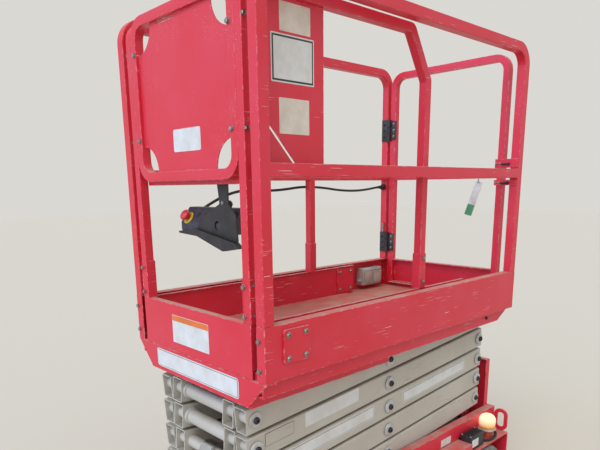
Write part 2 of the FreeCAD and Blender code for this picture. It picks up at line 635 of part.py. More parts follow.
for name, side in SIDES:
    low, high = both(side, HALF + " - toe_sheet", HALF)
    panel = block(REAR, FRONT, low, high, "toe_bottom", TOE_TOP)
    low, high = both(side, HALF + " - rail_tube", HALF)
    head = block(REAR, FRONT, low, high, TOE_TOP + " - toe_sheet", TOE_TOP)
    front = block(FRONT + " - toe_sheet", FRONT, low, high, "toe_bottom", TOE_TOP)
    rear = block(REAR, REAR + " + toe_sheet", low, high, "toe_bottom", TOE_TOP)
    piece("toe_board_" + name, fuse([panel, head, front, rear]))

    outline = [(REAR, TOE_TOP), (REAR + " + rail_tube", TOE_TOP), (REAR + " + rail_tube", MID_LOW),
               (FRONT + " - rail_tube", MID_LOW), (FRONT + " - rail_tube", TOE_TOP), (FRONT, TOE_TOP),
               (FRONT, RAIL_TOP), (REAR, RAIL_TOP)]
    opening = [(REAR + " + rail_tube", MID_TOP), (FRONT + " - rail_tube", MID_TOP),
               (FRONT + " - rail_tube", RAIL_TOP + " - rail_tube"), (REAR + " + rail_tube", RAIL_TOP + " - rail_tube")]
    offset = "-(%s)" % (HALF if side > 0 else "-%s + rail_tube" % HALF)
    rail = frame_body("Guardrail" + name, "XZ_Plane", [outline, opening], "rail_tube", offset)
    doc.recompute()
    front_x, rear_x = float(sheet.get("overall_length")) / 2, None
    rear_x = front_x - sheet.get("platform_length")
    top_z = sheet.get("toe_bottom") + sheet.get("rail_rise")
    tube = sheet.get("rail_tube")
    rail = rounded(rail, "y", "rail_bend", [(front_x, top_z), (rear_x, top_z)])
    rail = rounded(rail, "y", "rail_bend_inner", [(front_x - tube, top_z - tube), (rear_x + tube, top_z - tube)])
    piece("guardrail_" + name, rail)


def gate():
    """The rear gate: a bent tube frame with a mid rail and a folded toe panel."""
    foot = "toe_bottom + gate_rise"
    head = RAIL_TOP + " - gate_drop"
    edge = "gate_half"
    inner = "gate_half - gate_tube"
    outline = [("-" + edge, foot), (edge, foot), (edge, head), ("-" + edge, head)]
    lower = [("-(%s)" % inner, TOE_TOP), (inner, TOE_TOP), (inner, MID_LOW), ("-(%s)" % inner, MID_LOW)]
    upper = [("-(%s)" % inner, MID_LOW + " + gate_tube"), (inner, MID_LOW + " + gate_tube"),
             (inner, head + " - gate_tube"), ("-(%s)" % inner, head + " - gate_tube")]
    frame = frame_body("GateFrame", "YZ_Plane", [outline, lower, upper], "gate_tube", REAR)
    doc.recompute()
    half = sheet.get("gate_half")
    tube = sheet.get("gate_tube")
    top = sheet.get("toe_bottom") + sheet.get("rail_rise") - sheet.get("gate_drop")
    frame = rounded(frame, "x", "gate_bend", [(half, top), (-half, top)])
    frame = rounded(frame, "x", "gate_bend_inner", [(half - tube, top - tube), (tube - half, top - tube)])
    hollow = block(REAR + " + toe_sheet", REAR + " + gate_tube + 1", "-(%s)" % inner, inner,
                   foot + " + toe_sheet", TOE_TOP + " - toe_sheet")
    barrels = [rod("z", HINGE_X, HINGE_Y, "toe_bottom + %s" % low, "hinge_radius", "hinge_height")
               for low in ("hinge_low", "hinge_high")]
    leaves = [block(REAR + " + gate_tube", HINGE_X, HINGE_Y, "-gate_half + 26",
                    "toe_bottom + %s" % low, "toe_bottom + %s + hinge_height" % low)
              for low in ("hinge_low", "hinge_high")]
    body = cut(frame, [hollow])
    pins = [rod("z", HINGE_X, HINGE_Y, "toe_bottom + %s - 6" % low, "hinge_radius / 2 + pin_play",
                "hinge_height + 12") for low in ("hinge_low", "hinge_high")]
    return piece("gate", cut(fuse([body] + barrels + leaves), pins))


HINGE_X = "(%s + gate_tube + 10)" % REAR
HINGE_Y = "(-gate_half - 2)"
gate()
hinges = []
for low in ("hinge_low", "hinge_high"):
    foot = "toe_bottom + %s" % low
    for z in (foot + " - 7", foot + " + hinge_height + 1"):
        hinges.append(rod("z", HINGE_X, HINGE_Y, z, "hinge_radius", "6"))
        hinges.append(block(REAR + " + rail_tube - 12", HINGE_X + " + 4", "-%s + rail_tube" % HALF, HINGE_Y, z, z + " + 6"))
    hinges.append(rod("z", HINGE_X, HINGE_Y, foot + " - 7", "hinge_radius / 2", "hinge_height + 14"))
piece("gate_hinges", fuse(hinges))
piece("outlet_box", block("-600", "-500", "-%s + toe_sheet" % HALF, "-%s + toe_sheet + 44" % HALF,
                          "toe_bottom + 60", "toe_bottom + 130"))

# Roll-out front platform
SLIDE_LOW = "(%s + slide_gap)" % FLOOR
EXT_TOE_TOP = "(%s - 2)" % TOE_TOP
EXT_TOP = "(%s - extension_drop)" % RAIL_TOP
EXT_IN = "(extension_half - extension_tube)"
deck = [block(FRONT + " - extension_back + 50", FRONT + " - toe_sheet", "-extension_half", "extension_half", SLIDE_LOW,
              SLIDE_LOW + " + floor_sheet"),
        block(FRONT + " - toe_sheet", FRONT, "-extension_half", "extension_half", "toe_bottom", EXT_TOE_TOP),
        block(FRONT + " - 26", FRONT, "-extension_half", "extension_half", EXT_TOE_TOP + " - toe_sheet", EXT_TOE_TOP)]
for name, side in SIDES:
    low, high = both(side, "extension_half - toe_sheet", "extension_half")
    deck.append(block(FRONT + " - extension_back", FRONT, low, high, SLIDE_LOW, EXT_TOE_TOP))
    low, high = both(side, "extension_half - 14", "extension_half")
    deck.append(block(FRONT + " - extension_back", FRONT, low, high, EXT_TOE_TOP + " - toe_sheet", EXT_TOE_TOP))
piece("extension_deck", fuse(deck))

for name, side in SIDES:
    low_x = "(%s - extension_post - extension_tube)" % FRONT
    slant_x = "(%s + slant_run)" % low_x
    slant_z = "(%s - slant_drop)" % EXT_TOP
    lean = "atan(slant_run / slant_drop)"
    outline = [(low_x, EXT_TOE_TOP), (low_x + " + extension_tube", EXT_TOE_TOP),
               (low_x + " + extension_tube", MID_LOW), (FRONT + " - extension_tube", MID_LOW),
               (FRONT + " - extension_tube", EXT_TOE_TOP), (FRONT, EXT_TOE_TOP), (FRONT, EXT_TOP),
               (slant_x, EXT_TOP), (low_x, slant_z)]
    opening = [(low_x + " + extension_tube", MID_LOW + " + extension_tube"),
               (FRONT + " - extension_tube", MID_LOW + " + extension_tube"),
               (FRONT + " - extension_tube", EXT_TOP + " - extension_tube"),
               (slant_x + " + extension_tube * tan((90 deg - %s) / 2)" % lean, EXT_TOP + " - extension_tube"),
               (low_x + " + extension_tube", slant_z + " - extension_tube * tan(%s / 2)" % lean)]
    offset = "-(%s)" % ("extension_half" if side > 0 else "-extension_half + extension_tube")
    rail = frame_body("ExtensionRail" + name, "XZ_Plane", [outline, opening], "extension_tube", offset)
    doc.recompute()
    front_x = sheet.get("overall_length") / 2
    top_z = sheet.get("toe_bottom") + sheet.get("rail_rise") - sheet.get("extension_drop")
    rail = rounded(rail, "y", "extension_bend", [(front_x, top_z)])
    piece("extension_rail_" + name, rail)

GUARD_LOW = "(%s - 5)" % MID_LOW


def front_guard():
    """The closed front loop with its sheet, whose corners are cut out round."""
    edge, inner = EXT_IN, "(%s - extension_tube)" % EXT_IN
    low_in, top_in = GUARD_LOW + " + extension_tube", EXT_TOP + " - extension_tube"
    outline = [("-" + edge, GUARD_LOW), (edge, GUARD_LOW), (edge, EXT_TOP), ("-" + edge, EXT_TOP)]
    opening = [("-" + inner, low_in), (inner, low_in), (inner, top_in), ("-" + inner, top_in)]
    loop = frame_body("FrontLoop", "YZ_Plane", [outline, opening], "extension_tube", FRONT + " - extension_tube")
    doc.recompute()
    half = sheet.get("extension_half") - sheet.get("extension_tube")
    tube = sheet.get("extension_tube")
    foot = sheet.get("toe_bottom") + sheet.get("mid_rise") - 5
    top = sheet.get("toe_bottom") + sheet.get("rail_rise") - sheet.get("extension_drop")
    loop = rounded(loop, "x", "guard_bend", [(y, z) for y in (-half, half) for z in (foot, top)])
    loop = rounded(loop, "x", "guard_bend_inner",
                   [(y, z) for y in (tube - half, half - tube) for z in (foot + tube, top - tube)])
    skin = block(FRONT + " - 14", FRONT + " - 14 + guard_sheet", "-%s" % inner, inner, low_in, top_in)
    cuts = [rod("x", FRONT + " - 20", y, z, "guard_cut", "20") for y in ("-" + inner, inner) for z in (low_in, top_in)]
    slit = block(FRONT + " - 20", FRONT, "-%s + 70" % inner, "-%s + 150" % inner, top_in + " - 14", top_in + " - 6")
    bar = block(FRONT + " - 2 * extension_tube", FRONT + " - extension_tube", "-" + EXT_IN, EXT_IN,
                GUARD_LOW + " - 12", GUARD_LOW + " + 20")
    return piece("front_guard", fuse([loop, cut(skin, cuts + [slit]), bar]))


front_guard()
side_sheet = block(FRONT + " - side_sheet_back", FRONT + " - extension_tube", "extension_half - 18",
                   "extension_half - 18 + guard_sheet", MID_LOW + " + extension_tube", EXT_TOP + " - extension_tube")
piece("side_panel", side_sheet)

# Control box under the front cross bar
wedge = [(FRONT + " - 210", "1275"), (FRONT + " - 70", "1275"), (FRONT + " - 70", "1345"),
         (FRONT + " - 90", "1425"), (FRONT + " - 130", "1425"), (FRONT + " - 210", "1330")]
wedge = frame_body("ControlShell", "XZ_Plane", [wedge], "300", "-160")
hanger = block(FRONT + " - 110", FRONT + " - 104", "-20", "60", "1420", MID_LOW + " + 10")
hook = block(FRONT + " - 110", FRONT + " - 2 * extension_tube", "-20", "60", MID_LOW + " + 10", MID_LOW + " + 16")
piece("control_box", fuse([wedge, hanger, hook]))

# Control cable, from the box to its socket on the right rear post
ROUTE = [(640, -140, 1345), (640, -185, 1345), (622, -238, 1350), (575, -272, 1372), (500, -285, 1410),
         (400, -290, 1452), (290, -296, 1470), (180, -306, 1462), (70, -318, 1466), (-50, -330, 1478),
         (-180, -331, 1473), (-300, -331, 1458), (-420, -334, 1454), (-520, -342, 1460), (-590, -355, 1467),
         (-625, -360, 1470), (-655, -360, 1470)]


def cable(route, diameter):
    """A tube of straight runs joined by tangent arcs."""
    points = [Vector(*spot) for spot in route]
    edges = []
    radii = []
    start = points[0]
    for before, here, after in zip(points, points[1:], points[2:]):
        to, away = here - before, after - here
        turn = to.getAngle(away)
        short = min(to.Length, away.Length)
        radius = 0.45 * short / math.tan(turn / 2)
        radii.append(round(radius))
        reach = 0.45 * short
        one = here - to.normalize() * reach
        two = here + away.normalize() * reach
        middle_way = (one + two) * 0.5 - here
        far = radius / math.cos(turn / 2) - radius
        middle = here + middle_way.normalize() * far
        edges.append(Part.LineSegment(start, one).toShape())
        edges.append(Part.Arc(one, middle, two).toShape())
        start = two
    edges.append(Part.LineSegment(start, points[-1]).toShape())
    wire = Part.Wire(edges)
    ring = Part.Wire([Part.Circle(points[0], points[1] - points[0], diameter / 2).toShape()])
    tube = wire.makePipeShell([ring], True, False)
    print("cable length", round(wire.Length), "radii", radii, "volume share",
          tube.Volume / (math.pi * diameter ** 2 / 4 * wire.Length))
    return tube


cord = doc.addObject("Part::Feature", "ControlCable")
cord.Shape = cable(ROUTE, sheet.get("cable_size"))
piece("control_cable", cord)
piece("cable_plug", fuse([rod("x", "-677", "-360", "1470", "15", "10"), rod("x", "-667", "-360", "1470", "11", "12")]))

doc.recompute()
faults = [thing.Label for thing in doc.Objects if "Invalid" in thing.State or "Error" in thing.State]
for label, thing in pieces:
    if thing.Shape.isNull() or not thing.Shape.isValid() or not thing.Shape.Solids:
        faults.append(label)
if faults:
    raise RuntimeError("failed objects: " + ", ".join(faults))
os.makedirs("parts", exist_ok=True)
for label, thing in pieces:
    thing.Shape.exportStep("parts/%s.step" % label)
print(len(pieces), "pieces")
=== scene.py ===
# %% [markdown]
# # Dressing a scissor lift
# The machine is an electric slab scissor lift, folded down, with its guardrails up. The steel comes from
# the CAD model and stays as it is. This script gives it paint, dirt, fasteners, labels, cable and lamp,
# and a plain studio. Everything is in metres in the CAD's own frame, so nothing has to be fitted.

# %% The fixed frame
import math

import bmesh
import bpy
from mathutils import Matrix, Vector


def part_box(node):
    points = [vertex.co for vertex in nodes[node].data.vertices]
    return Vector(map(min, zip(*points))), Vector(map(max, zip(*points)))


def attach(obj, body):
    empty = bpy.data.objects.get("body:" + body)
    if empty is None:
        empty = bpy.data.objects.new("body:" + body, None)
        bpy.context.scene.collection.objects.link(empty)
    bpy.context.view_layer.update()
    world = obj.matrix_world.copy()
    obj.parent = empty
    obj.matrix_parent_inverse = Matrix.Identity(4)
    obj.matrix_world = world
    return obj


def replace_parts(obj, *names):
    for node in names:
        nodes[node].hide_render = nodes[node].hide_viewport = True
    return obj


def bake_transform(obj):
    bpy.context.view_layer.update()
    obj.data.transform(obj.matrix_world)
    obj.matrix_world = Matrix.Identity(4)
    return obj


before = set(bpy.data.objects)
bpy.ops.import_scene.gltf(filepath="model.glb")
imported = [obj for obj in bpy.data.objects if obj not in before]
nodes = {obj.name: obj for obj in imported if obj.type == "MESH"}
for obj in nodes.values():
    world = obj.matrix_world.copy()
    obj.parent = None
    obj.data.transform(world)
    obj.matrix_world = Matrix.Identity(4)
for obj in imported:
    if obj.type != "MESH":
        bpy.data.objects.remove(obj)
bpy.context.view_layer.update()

scene = bpy.context.scene
MM = 0.001

# %% [markdown]
# ## The camera
# The photograph was taken by someone standing at the front left corner of the machine. Straight rails
# in it were used to solve for the place, the turn and the lens. The picture's optical centre lies below
# its middle, which a lens shift gives. A camera could also be aimed by eye, but solved numbers let
# every later piece be compared with the picture.

# %% Camera
CAMERA_PLACE = (1.729, 1.561, 1.480)
CAMERA_TURN = 227.01
CAMERA_PITCH = 12.91
CAMERA_ROLL = 0.67
LENS = 33.4
SHIFT = (-0.0017, 0.148)

camera = bpy.data.objects.new("camera", bpy.data.cameras.new("camera"))
scene.collection.objects.link(camera)
scene.camera = camera
turn, pitch, roll = (math.radians(a) for a in (CAMERA_TURN, CAMERA_PITCH, CAMERA_ROLL))
forward = Vector((math.cos(turn) * math.cos(pitch), math.sin(turn) * math.cos(pitch), -math.sin(pitch)))
level = Vector((math.sin(turn), -math.cos(turn), 0))
down = forward.cross(level)
right = level * math.cos(roll) + down * math.sin(roll)
under = down * math.cos(roll) - level * math.sin(roll)
camera.matrix_world = Matrix.Translation(CAMERA_PLACE) @ Matrix((right, -under, -forward)).transposed().to_4x4()
camera.data.lens = LENS
camera.data.sensor_width = 36
camera.data.shift_x, camera.data.shift_y = SHIFT
camera.data.clip_start, camera.data.clip_end = 0.05, 100

# %% [markdown]
# ## Colours and nodes
# Colours are written as on a screen, in sRGB hex, and one function turns them into the linear values
# that the shader works with. A second small function adds any shader node with its settings and its
# links, so that a finish reads as a short list of layers.

# %% Colour and node helpers


def linear(code, alpha=1.0):
    """A hex colour as linear light."""
    parts = [int(code[i:i + 2], 16) / 255 for i in (0, 2, 4)]
    return (*[c / 12.92 if c <= 0.04045 else ((c + 0.055) / 1.055) ** 2.4 for c in parts], alpha)


def add(tree, kind, inputs=None, stops=None, **settings):
    """Adds a shader node, sets its properties, and fills or links its inputs."""
    made = tree.nodes.new("ShaderNode" + kind)
    for key, value in settings.items():
        setattr(made, key, value)
    for key, value in (inputs or {}).items():
        if isinstance(value, bpy.types.NodeSocket):
            tree.links.new(value, made.inputs[key])
        else:
            made.inputs[key].default_value = value
    if stops:
        ramp = made.color_ramp
        for (place, shade), stop in zip(stops, ramp.elements):
            stop.position, stop.color = place, shade
    return made


def grey(level):
    """A plain grey for a ramp's stop."""
    return (level, level, level, 1)


def new_finish(name, colour, roughness, metallic=0.0):
    """A material with its colour, roughness and metallic set on the shader itself."""
    material = bpy.data.materials.new(name)
    material.use_nodes = True
    shader = material.node_tree.nodes["Principled BSDF"]
    shader.inputs["Base Color"].default_value = linear(colour)
    shader.inputs["Roughness"].default_value = roughness
    shader.inputs["Metallic"].default_value = metallic
    return material, material.node_tree, shader


# %% [markdown]
# ## Painted steel that has worked
# Rails, boards and chassis are welded mild steel, powder coated in a gloss red. Years of loading leave
# four things: paler faded patches, long thin scratches, chips along the edges where the grey primer
# shows, and site dust that settles on what faces up. Each is one layer of noise at its real size over
# the layer below. A painted texture could do it too, but noise on Object coordinates needs no unwrapping
# and runs on over a whole piece.

# %% The worn enamel


def worn_enamel(name, colour, faded, bare, dust, roughness=0.36, wear=1.0, dusty=1.0):
    """Enamel on steel: faded patches, scratches, chipped edges and settled dust."""
    material, tree, shader = new_finish(name, colour, roughness)
    place = add(tree, "TexCoord").outputs["Object"]
    shape = add(tree, "NewGeometry")
    patch = add(tree, "TexNoise", {"Vector": place, "Scale": 1 / 0.28, "Detail": 4, "Roughness": 0.6})
    patch_share = add(tree, "ValToRGB", {"Fac": patch.outputs["Fac"]}, ((0.38, grey(0)), (0.72, grey(1))))
    paint = add(tree, "MixRGB", {"Fac": patch_share.outputs["Color"], "Color1": linear(colour),
                                 "Color2": linear(faded)})
    # Scratches are some 2 mm wide and 10 cm long here: real ones are finer, and would not show
    long_way = add(tree, "Mapping", {"Vector": place, "Rotation": (0.5, 0.9, 0.3),
                                     "Scale": (1 / 0.10, 1 / 0.0022, 1 / 0.0022)})
    lines = add(tree, "TexNoise", {"Vector": long_way.outputs["Vector"], "Scale": 1, "Detail": 1})
    line_share = add(tree, "ValToRGB", {"Fac": lines.outputs["Fac"]},
                     ((0.735 - 0.02 * wear, grey(0)), (0.76 - 0.02 * wear, grey(1))))
    where = add(tree, "TexNoise", {"Vector": place, "Scale": 1 / 0.16, "Detail": 2})
    where_share = add(tree, "ValToRGB", {"Fac": where.outputs["Fac"]}, ((0.5, grey(0)), (0.62, grey(1))))
    scratch = add(tree, "Math", {0: line_share.outputs["Color"], 1: where_share.outputs["Color"]},
                  operation="MULTIPLY")
    marked = add(tree, "MixRGB", {"Fac": scratch.outputs[0], "Color1": paint.outputs["Color"],
                                  "Color2": linear(bare)})
    # An edge is where the normal softened over 4 mm leaves the true one
    soft = add(tree, "Bevel", {"Radius": 0.004}, samples=3)
    along = add(tree, "VectorMath", {0: soft.outputs["Normal"], 1: shape.outputs["Normal"]},
                operation="DOT_PRODUCT")
    edge = add(tree, "MapRange", {"Value": along.outputs["Value"], "From Min": 0.97, "From Max": 0.80,
                                  "To Min": 0.0, "To Max": 1.0})
    grain = add(tree, "TexNoise", {"Vector": place, "Scale": 1 / 0.022, "Detail": 5, "Roughness": 0.7})
    grain_share = add(tree, "ValToRGB", {"Fac": grain.outputs["Fac"]},
                      ((0.60 - 0.05 * wear, grey(0)), (0.64 - 0.05 * wear, grey(1))))
    chip = add(tree, "Math", {0: edge.outputs[0], 1: grain_share.outputs["Color"]}, operation="MULTIPLY")
    chipped = add(tree, "MixRGB", {"Fac": chip.outputs[0], "Color1": marked.outputs["Color"],
                                   "Color2": linear(bare)})
    # Dust lies on what faces up, in uneven drifts
    up = add(tree, "SeparateXYZ", {"Vector": shape.outputs["Normal"]})
    facing = add(tree, "MapRange", {"Value": up.outputs["Z"], "From Min": 0.6, "From Max": 0.98})
    drift = add(tree, "TexNoise", {"Vector": place, "Scale": 1 / 0.09, "Detail": 6, "Roughness": 0.65})
    drift_share = add(tree, "MapRange", {"Value": drift.outputs["Fac"], "From Min": 0.35, "From Max": 0.65,
                                         "To Min": 0.25 * dusty, "To Max": 0.9 * dusty})
    settled = add(tree, "Math", {0: facing.outputs[0], 1: drift_share.outputs[0]}, operation="MULTIPLY")
    finished = add(tree, "MixRGB", {"Fac": settled.outputs[0], "Color1": chipped.outputs["Color"],
                                    "Color2": linear(dust)})
    tree.links.new(finished.outputs["Color"], shader.inputs["Base Color"])
    dull = add(tree, "MapRange", {"Value": settled.outputs[0], "To Min": roughness, "To Max": 0.85})
    tree.links.new(dull.outputs[0], shader.inputs["Roughness"])
    peel = add(tree, "TexNoise", {"Vector": place, "Scale": 1 / 0.004, "Detail": 1})
    skin = add(tree, "Bump", {"Height": peel.outputs["Fac"], "Strength": 0.08, "Distance": 0.0004})
    tree.links.new(skin.outputs["Normal"], shader.inputs["Normal"])
    shader.inputs["Coat Weight"].default_value = 0.1
    shader.inputs["Coat Roughness"].default_value = 0.3
    return material


RED = worn_enamel("red_enamel_on_steel", "D01A30", "D22E44", "DCCCC6", "B09684", 0.45, 1.5)
FLOOR_RED = worn_enamel("red_deck_enamel_under_dust", "C8443E", "BE6158", "C9B4A4", "C09A86", 0.6, 1.6, 0.9)
ARM = worn_enamel("warm_grey_enamel_on_steel", "B9B4A8", "ADA79A", "6E675C", "8F8473", 0.45, 1.3, 0.7)

# %% [markdown]
# ## The other finishes
# Each starts from what the real one is. Tyres are grey non-marking rubber, the cylinder's rod is
# hard-chromed steel, the console is moulded or folded black, the lamp's lens is tinted acrylic with a painted
# highlight towards its top.

# %% Plain finishes with their own grain


def grained(name, colour, other, size, roughness, metallic=0.0, bump=0.1, spread=(0.35, 0.65)):
    """A finish whose colour wanders between two shades, with a fine relief of the same grain."""
    material, tree, shader = new_finish(name, colour, roughness, metallic)
    place = add(tree, "TexCoord").outputs["Object"]
    cloud = add(tree, "TexNoise", {"Vector": place, "Scale": 1 / size, "Detail": 6, "Roughness": 0.6})
    share = add(tree, "MapRange", {"Value": cloud.outputs["Fac"], "From Min": spread[0], "From Max": spread[1]})
    shade = add(tree, "MixRGB", {"Fac": share.outputs[0], "Color1": linear(colour), "Color2": linear(other)})
    tree.links.new(shade.outputs["Color"], shader.inputs["Base Color"])
    fine = add(tree, "TexNoise", {"Vector": place, "Scale": 1 / 0.0025, "Detail": 3})
    skin = add(tree, "Bump", {"Height": fine.outputs["Fac"], "Strength": bump, "Distance": 0.0006})
    tree.links.new(skin.outputs["Normal"], shader.inputs["Normal"])
    return material


TYRE = grained("grey_nonmarking_rubber", "8C8B85", "6F6C64", 0.05, 0.78, bump=0.25)
WHEEL = grained("grey_painted_cast_wheel", "55565A", "6E655A", 0.04, 0.5)
BLACK = grained("black_painted_steel", "1D1D1F", "34312E", 0.06, 0.45)
PLASTIC = grained("black_moulded_abs", "202124", "2E2D2C", 0.08, 0.5, bump=0.3)
CHROME = grained("hard_chromed_steel", "C9CBCD", "B9B8B4", 0.05, 0.14, 1.0, bump=0.02)
ZINC = grained("zinc_plated_steel", "A9A79D", "8B857A", 0.01, 0.35, 1.0)
RUBBER = grained("black_cable_rubber", "18181A", "2B2926", 0.03, 0.6)
GREY_BOX = grained("grey_abs_box", "B4B0A6", "9A958A", 0.05, 0.55)
LABEL = grained("white_vinyl_label", "D6D8D6", "C8C7C1", 0.06, 0.4, bump=0.03)
CREAM = grained("cream_paper_label", "DAD3C6", "C8BFAF", 0.06, 0.6, bump=0.03)
INK = grained("black_printed_vinyl", "26262A", "3A3936", 0.04, 0.45, bump=0.03)
ORANGE_INK = grained("orange_printed_vinyl", "E0752B", "C96A30", 0.05, 0.45, bump=0.03)
PAPER = grained("worn_card_tag", "D9DCDA", "BDBDB4", 0.04, 0.8, bump=0.1)
GREEN_INK = grained("green_printed_card", "3E8F5E", "5E9C72", 0.04, 0.8, bump=0.1)
CRADLE = grained("brown_black_enamel_on_steel", "191514", "302A27", 0.05, 0.5, bump=0.2)
CONSOLE = grained("slate_moulded_abs", "292A33", "3D3C45", 0.04, 0.5, bump=0.25)
STOP_RED = grained("red_moulded_button", "D8252E", "C03A3C", 0.03, 0.3, bump=0.03)
YELLOW = grained("yellow_moulded_ring", "D9C21E", "B6A22A", 0.03, 0.4, bump=0.03)
CAP = grained("pale_zinc_washer", "C4C5C4", "A7A59E", 0.02, 0.5, 0.2, bump=0.05)
PALE = grained("pale_grey_moulded_flange", "B8B6AE", "9C978C", 0.03, 0.5)
LAMP_BASE = grained("orange_red_moulded_foot", "C2442A", "A8492F", 0.03, 0.45)

AMBER, tree, shader = new_finish("amber_acrylic_lens_with_painted_highlight", "F0A82C", 0.2)
shader.inputs["Transmission Weight"].default_value = 0.35
shader.inputs["Emission Color"].default_value = linear("FFF0DC")
# The warm white emission that grows towards the top of the lens is a painted highlight
height = add(tree, "SeparateXYZ", {"Vector": add(tree, "TexCoord").outputs["Object"]}).outputs["Z"]
painted_top_highlight = add(tree, "MapRange", {"Value": height, "From Min": 0.338, "From Max": 0.378, "To Min": 0.05, "To Max": 0.85})
tree.links.new(painted_top_highlight.outputs[0], shader.inputs["Emission Strength"])
ribs = add(tree, "TexWave", {"Vector": add(tree, "TexCoord").outputs["Object"], "Scale": 45.0},
           wave_type="BANDS", bands_direction="X")
relief = add(tree, "Bump", {"Height": ribs.outputs["Fac"], "Strength": 0.3, "Distance": 0.001})
tree.links.new(relief.outputs["Normal"], shader.inputs["Normal"])

# %% [markdown]
# ## Dressing the CAD nodes
# The CAD's own meshes stay as they are. Modifiers on top merge their loose triangles, melt the flat ones
# together and round every hard edge by a bend radius, because folded and welded steel has no knife
# edges and it is the rounded edge that catches light.

# %% Finishes and soft edges for the CAD nodes
FINISHES = (
    ("inner_arms", ARM), ("outer_arms", ARM), ("lift_barrel", BLACK), ("lift_rod", CHROME),
    ("battery", BLACK), ("drive", BLACK), ("knuckle", BLACK), ("tie_rod", ZINC), ("tyre", TYRE), ("rim", WHEEL),
    ("pothole", BLACK), ("", RED),
)
EDGE_ROUND = {"inner": 0.6, "outer": 0.6, "tyre": 2.5, "guardrail": 3.0, "extension_rail": 2.5, "gate": 2.5,
              "front_guard": 2.5}
for name, node in sorted(nodes.items()):
    finish = next(material for start, material in FINISHES if name.startswith(start))
    node.data.materials.clear()
    node.data.materials.append(finish)
    node.modifiers.new("merge", "WELD").merge_threshold = 0.00002
    melt = node.modifiers.new("melt", "DECIMATE")
    melt.decimate_type = "DISSOLVE"
    melt.angle_limit = math.radians(0.5)
    round_over = node.modifiers.new("round_over", "BEVEL")
    round_over.width = MM * next((size for start, size in EDGE_ROUND.items() if name.startswith(start)), 1.2)
    round_over.segments = 2
    round_over.limit_method = "ANGLE"
    round_over.angle_limit = math.radians(40)
    node.modifiers.new("even_shading", "WEIGHTED_NORMAL").weight = 90
    for face in node.data.polygons:
        face.use_smooth = True

# The floors are walked on: what faces up there has the dull, dusty deck finish
for name in ("platform_deck", "extension_deck"):
    deck = nodes[name].data
    deck.materials.append(FLOOR_RED)
    for face in deck.polygons:
        face.material_index = 1 if face.normal.z > 0.9 and 0.925 < face.center.z < 0.96 else 0

# %% [markdown]
# ## Drawing in millimetres
# The real machine is drawn in millimetres, so the pieces are too. A few helpers add a box, a turned form
# or a cut plate to a mesh, and the last one scales the mesh to metres and lets it ride on a body. The
# main measures are read from the frame, so that pieces follow the CAD if it changes.

# %% Mesh helpers


def measures(name):
    """The lowest and highest corner of a CAD node in millimetres."""
    return [[round(v / MM, 2) for v in corner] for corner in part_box(name)]


DIRECTIONS = {"+x": (1, 0, 0), "-x": (-1, 0, 0), "+y": (0, 1, 0), "-y": (0, -1, 0), "+z": (0, 0, 1), "-z": (0, 0, -1)}


def facing(direction, at):
    """The matrix that takes a shape drawn along +Z to a place, pointing in a direction."""
    aim = Vector(DIRECTIONS[direction] if isinstance(direction, str) else direction)
    return Matrix.Translation(at) @ aim.to_track_quat("Z", "Y").to_matrix().to_4x4()


def slab(shape, low, high, soft=0.0, rounds=2):
    """A box from corner to corner with its edges rounded."""
    made = bmesh.ops.create_cube(shape, size=1)["verts"]
    low, high = Vector(low), Vector(high)
    bmesh.ops.scale(shape, vec=high - low, verts=made)
    bmesh.ops.translate(shape, vec=(low + high) / 2, verts=made)
    if soft:
        edges = list({edge for vert in made for edge in vert.link_edges})
        made = bmesh.ops.bevel(shape, geom=edges, offset=soft, segments=rounds, profile=0.5, affect="EDGES",
                               material=-1)["verts"]
    return made


def turned(shape, outline, direction, at, steps=24, paint=0):
    """A turned form: (radius, height) points spun about the way it faces. Ends on the axis close it."""
    path = [shape.verts.new((radius, 0, height)) for radius, height in outline]
    edges = [shape.edges.new(pair) for pair in zip(path, path[1:])]
    spun = bmesh.ops.spin(shape, geom=path + edges, cent=(0, 0, 0), axis=(0, 0, 1), angle=2 * math.pi,
                          steps=steps, use_merge=True)
    touched = {vert for item in spun["geom_last"] for vert in getattr(item, "verts", [item])}
    group = list(linked(touched | set(path)))
    bmesh.ops.remove_doubles(shape, verts=group, dist=0.001)
    group = [vert for vert in group if vert.is_valid]
    bmesh.ops.recalc_face_normals(shape, faces=tint(group, paint))
    bmesh.ops.transform(shape, matrix=facing(direction, at), verts=group)
    return group


def linked(seeds):
    """Every vertex that hangs together with the given ones."""
    found = set(seeds)
    waiting = list(seeds)
    while waiting:
        for edge in waiting.pop().link_edges:
            for vert in edge.verts:
                if vert not in found:
                    found.add(vert)
                    waiting.append(vert)
    return found


def rounded_corners(corners, radius, steps=5):
    """The corners of a flat outline, each replaced by an arc. A radius of None or 0 keeps it sharp."""
    outline = []
    radii = radius if isinstance(radius, (list, tuple)) else [radius] * len(corners)
    for number, (corner, size) in enumerate(zip(corners, radii)):
        here = Vector(corner)
        before = Vector(corners[number - 1]) - here
        after = Vector(corners[(number + 1) % len(corners)]) - here
        if not size:
            outline.append(here)
            continue
        half = before.angle(after) / 2
        reach = size / math.tan(half)
        centre = here + (before.normalized() + after.normalized()).normalized() * size / math.sin(half)
        start = here + before.normalized() * reach - centre
        end = here + after.normalized() * reach - centre
        sweep = start.angle_signed(end)
        for step in range(steps + 1):
            spoke = Matrix.Rotation(-sweep * step / steps, 2) @ start
            outline.append(centre + spoke)
    return outline


LIFTS = {"x": lambda a, b, c: (c, a, b), "y": lambda a, b, c: (a, c, b), "z": lambda a, b, c: (a, b, c)}


def box_of(a0, a1, b0, b1):
    """The corners of an upright rectangle."""
    return ((a0, b0), (a1, b0), (a1, b1), (a0, b1))


def circle(a, b, radius, steps=20):
    """Points round a circle."""
    return [(a + radius * math.cos(math.tau * step / steps), b + radius * math.sin(math.tau * step / steps))
            for step in range(steps)]


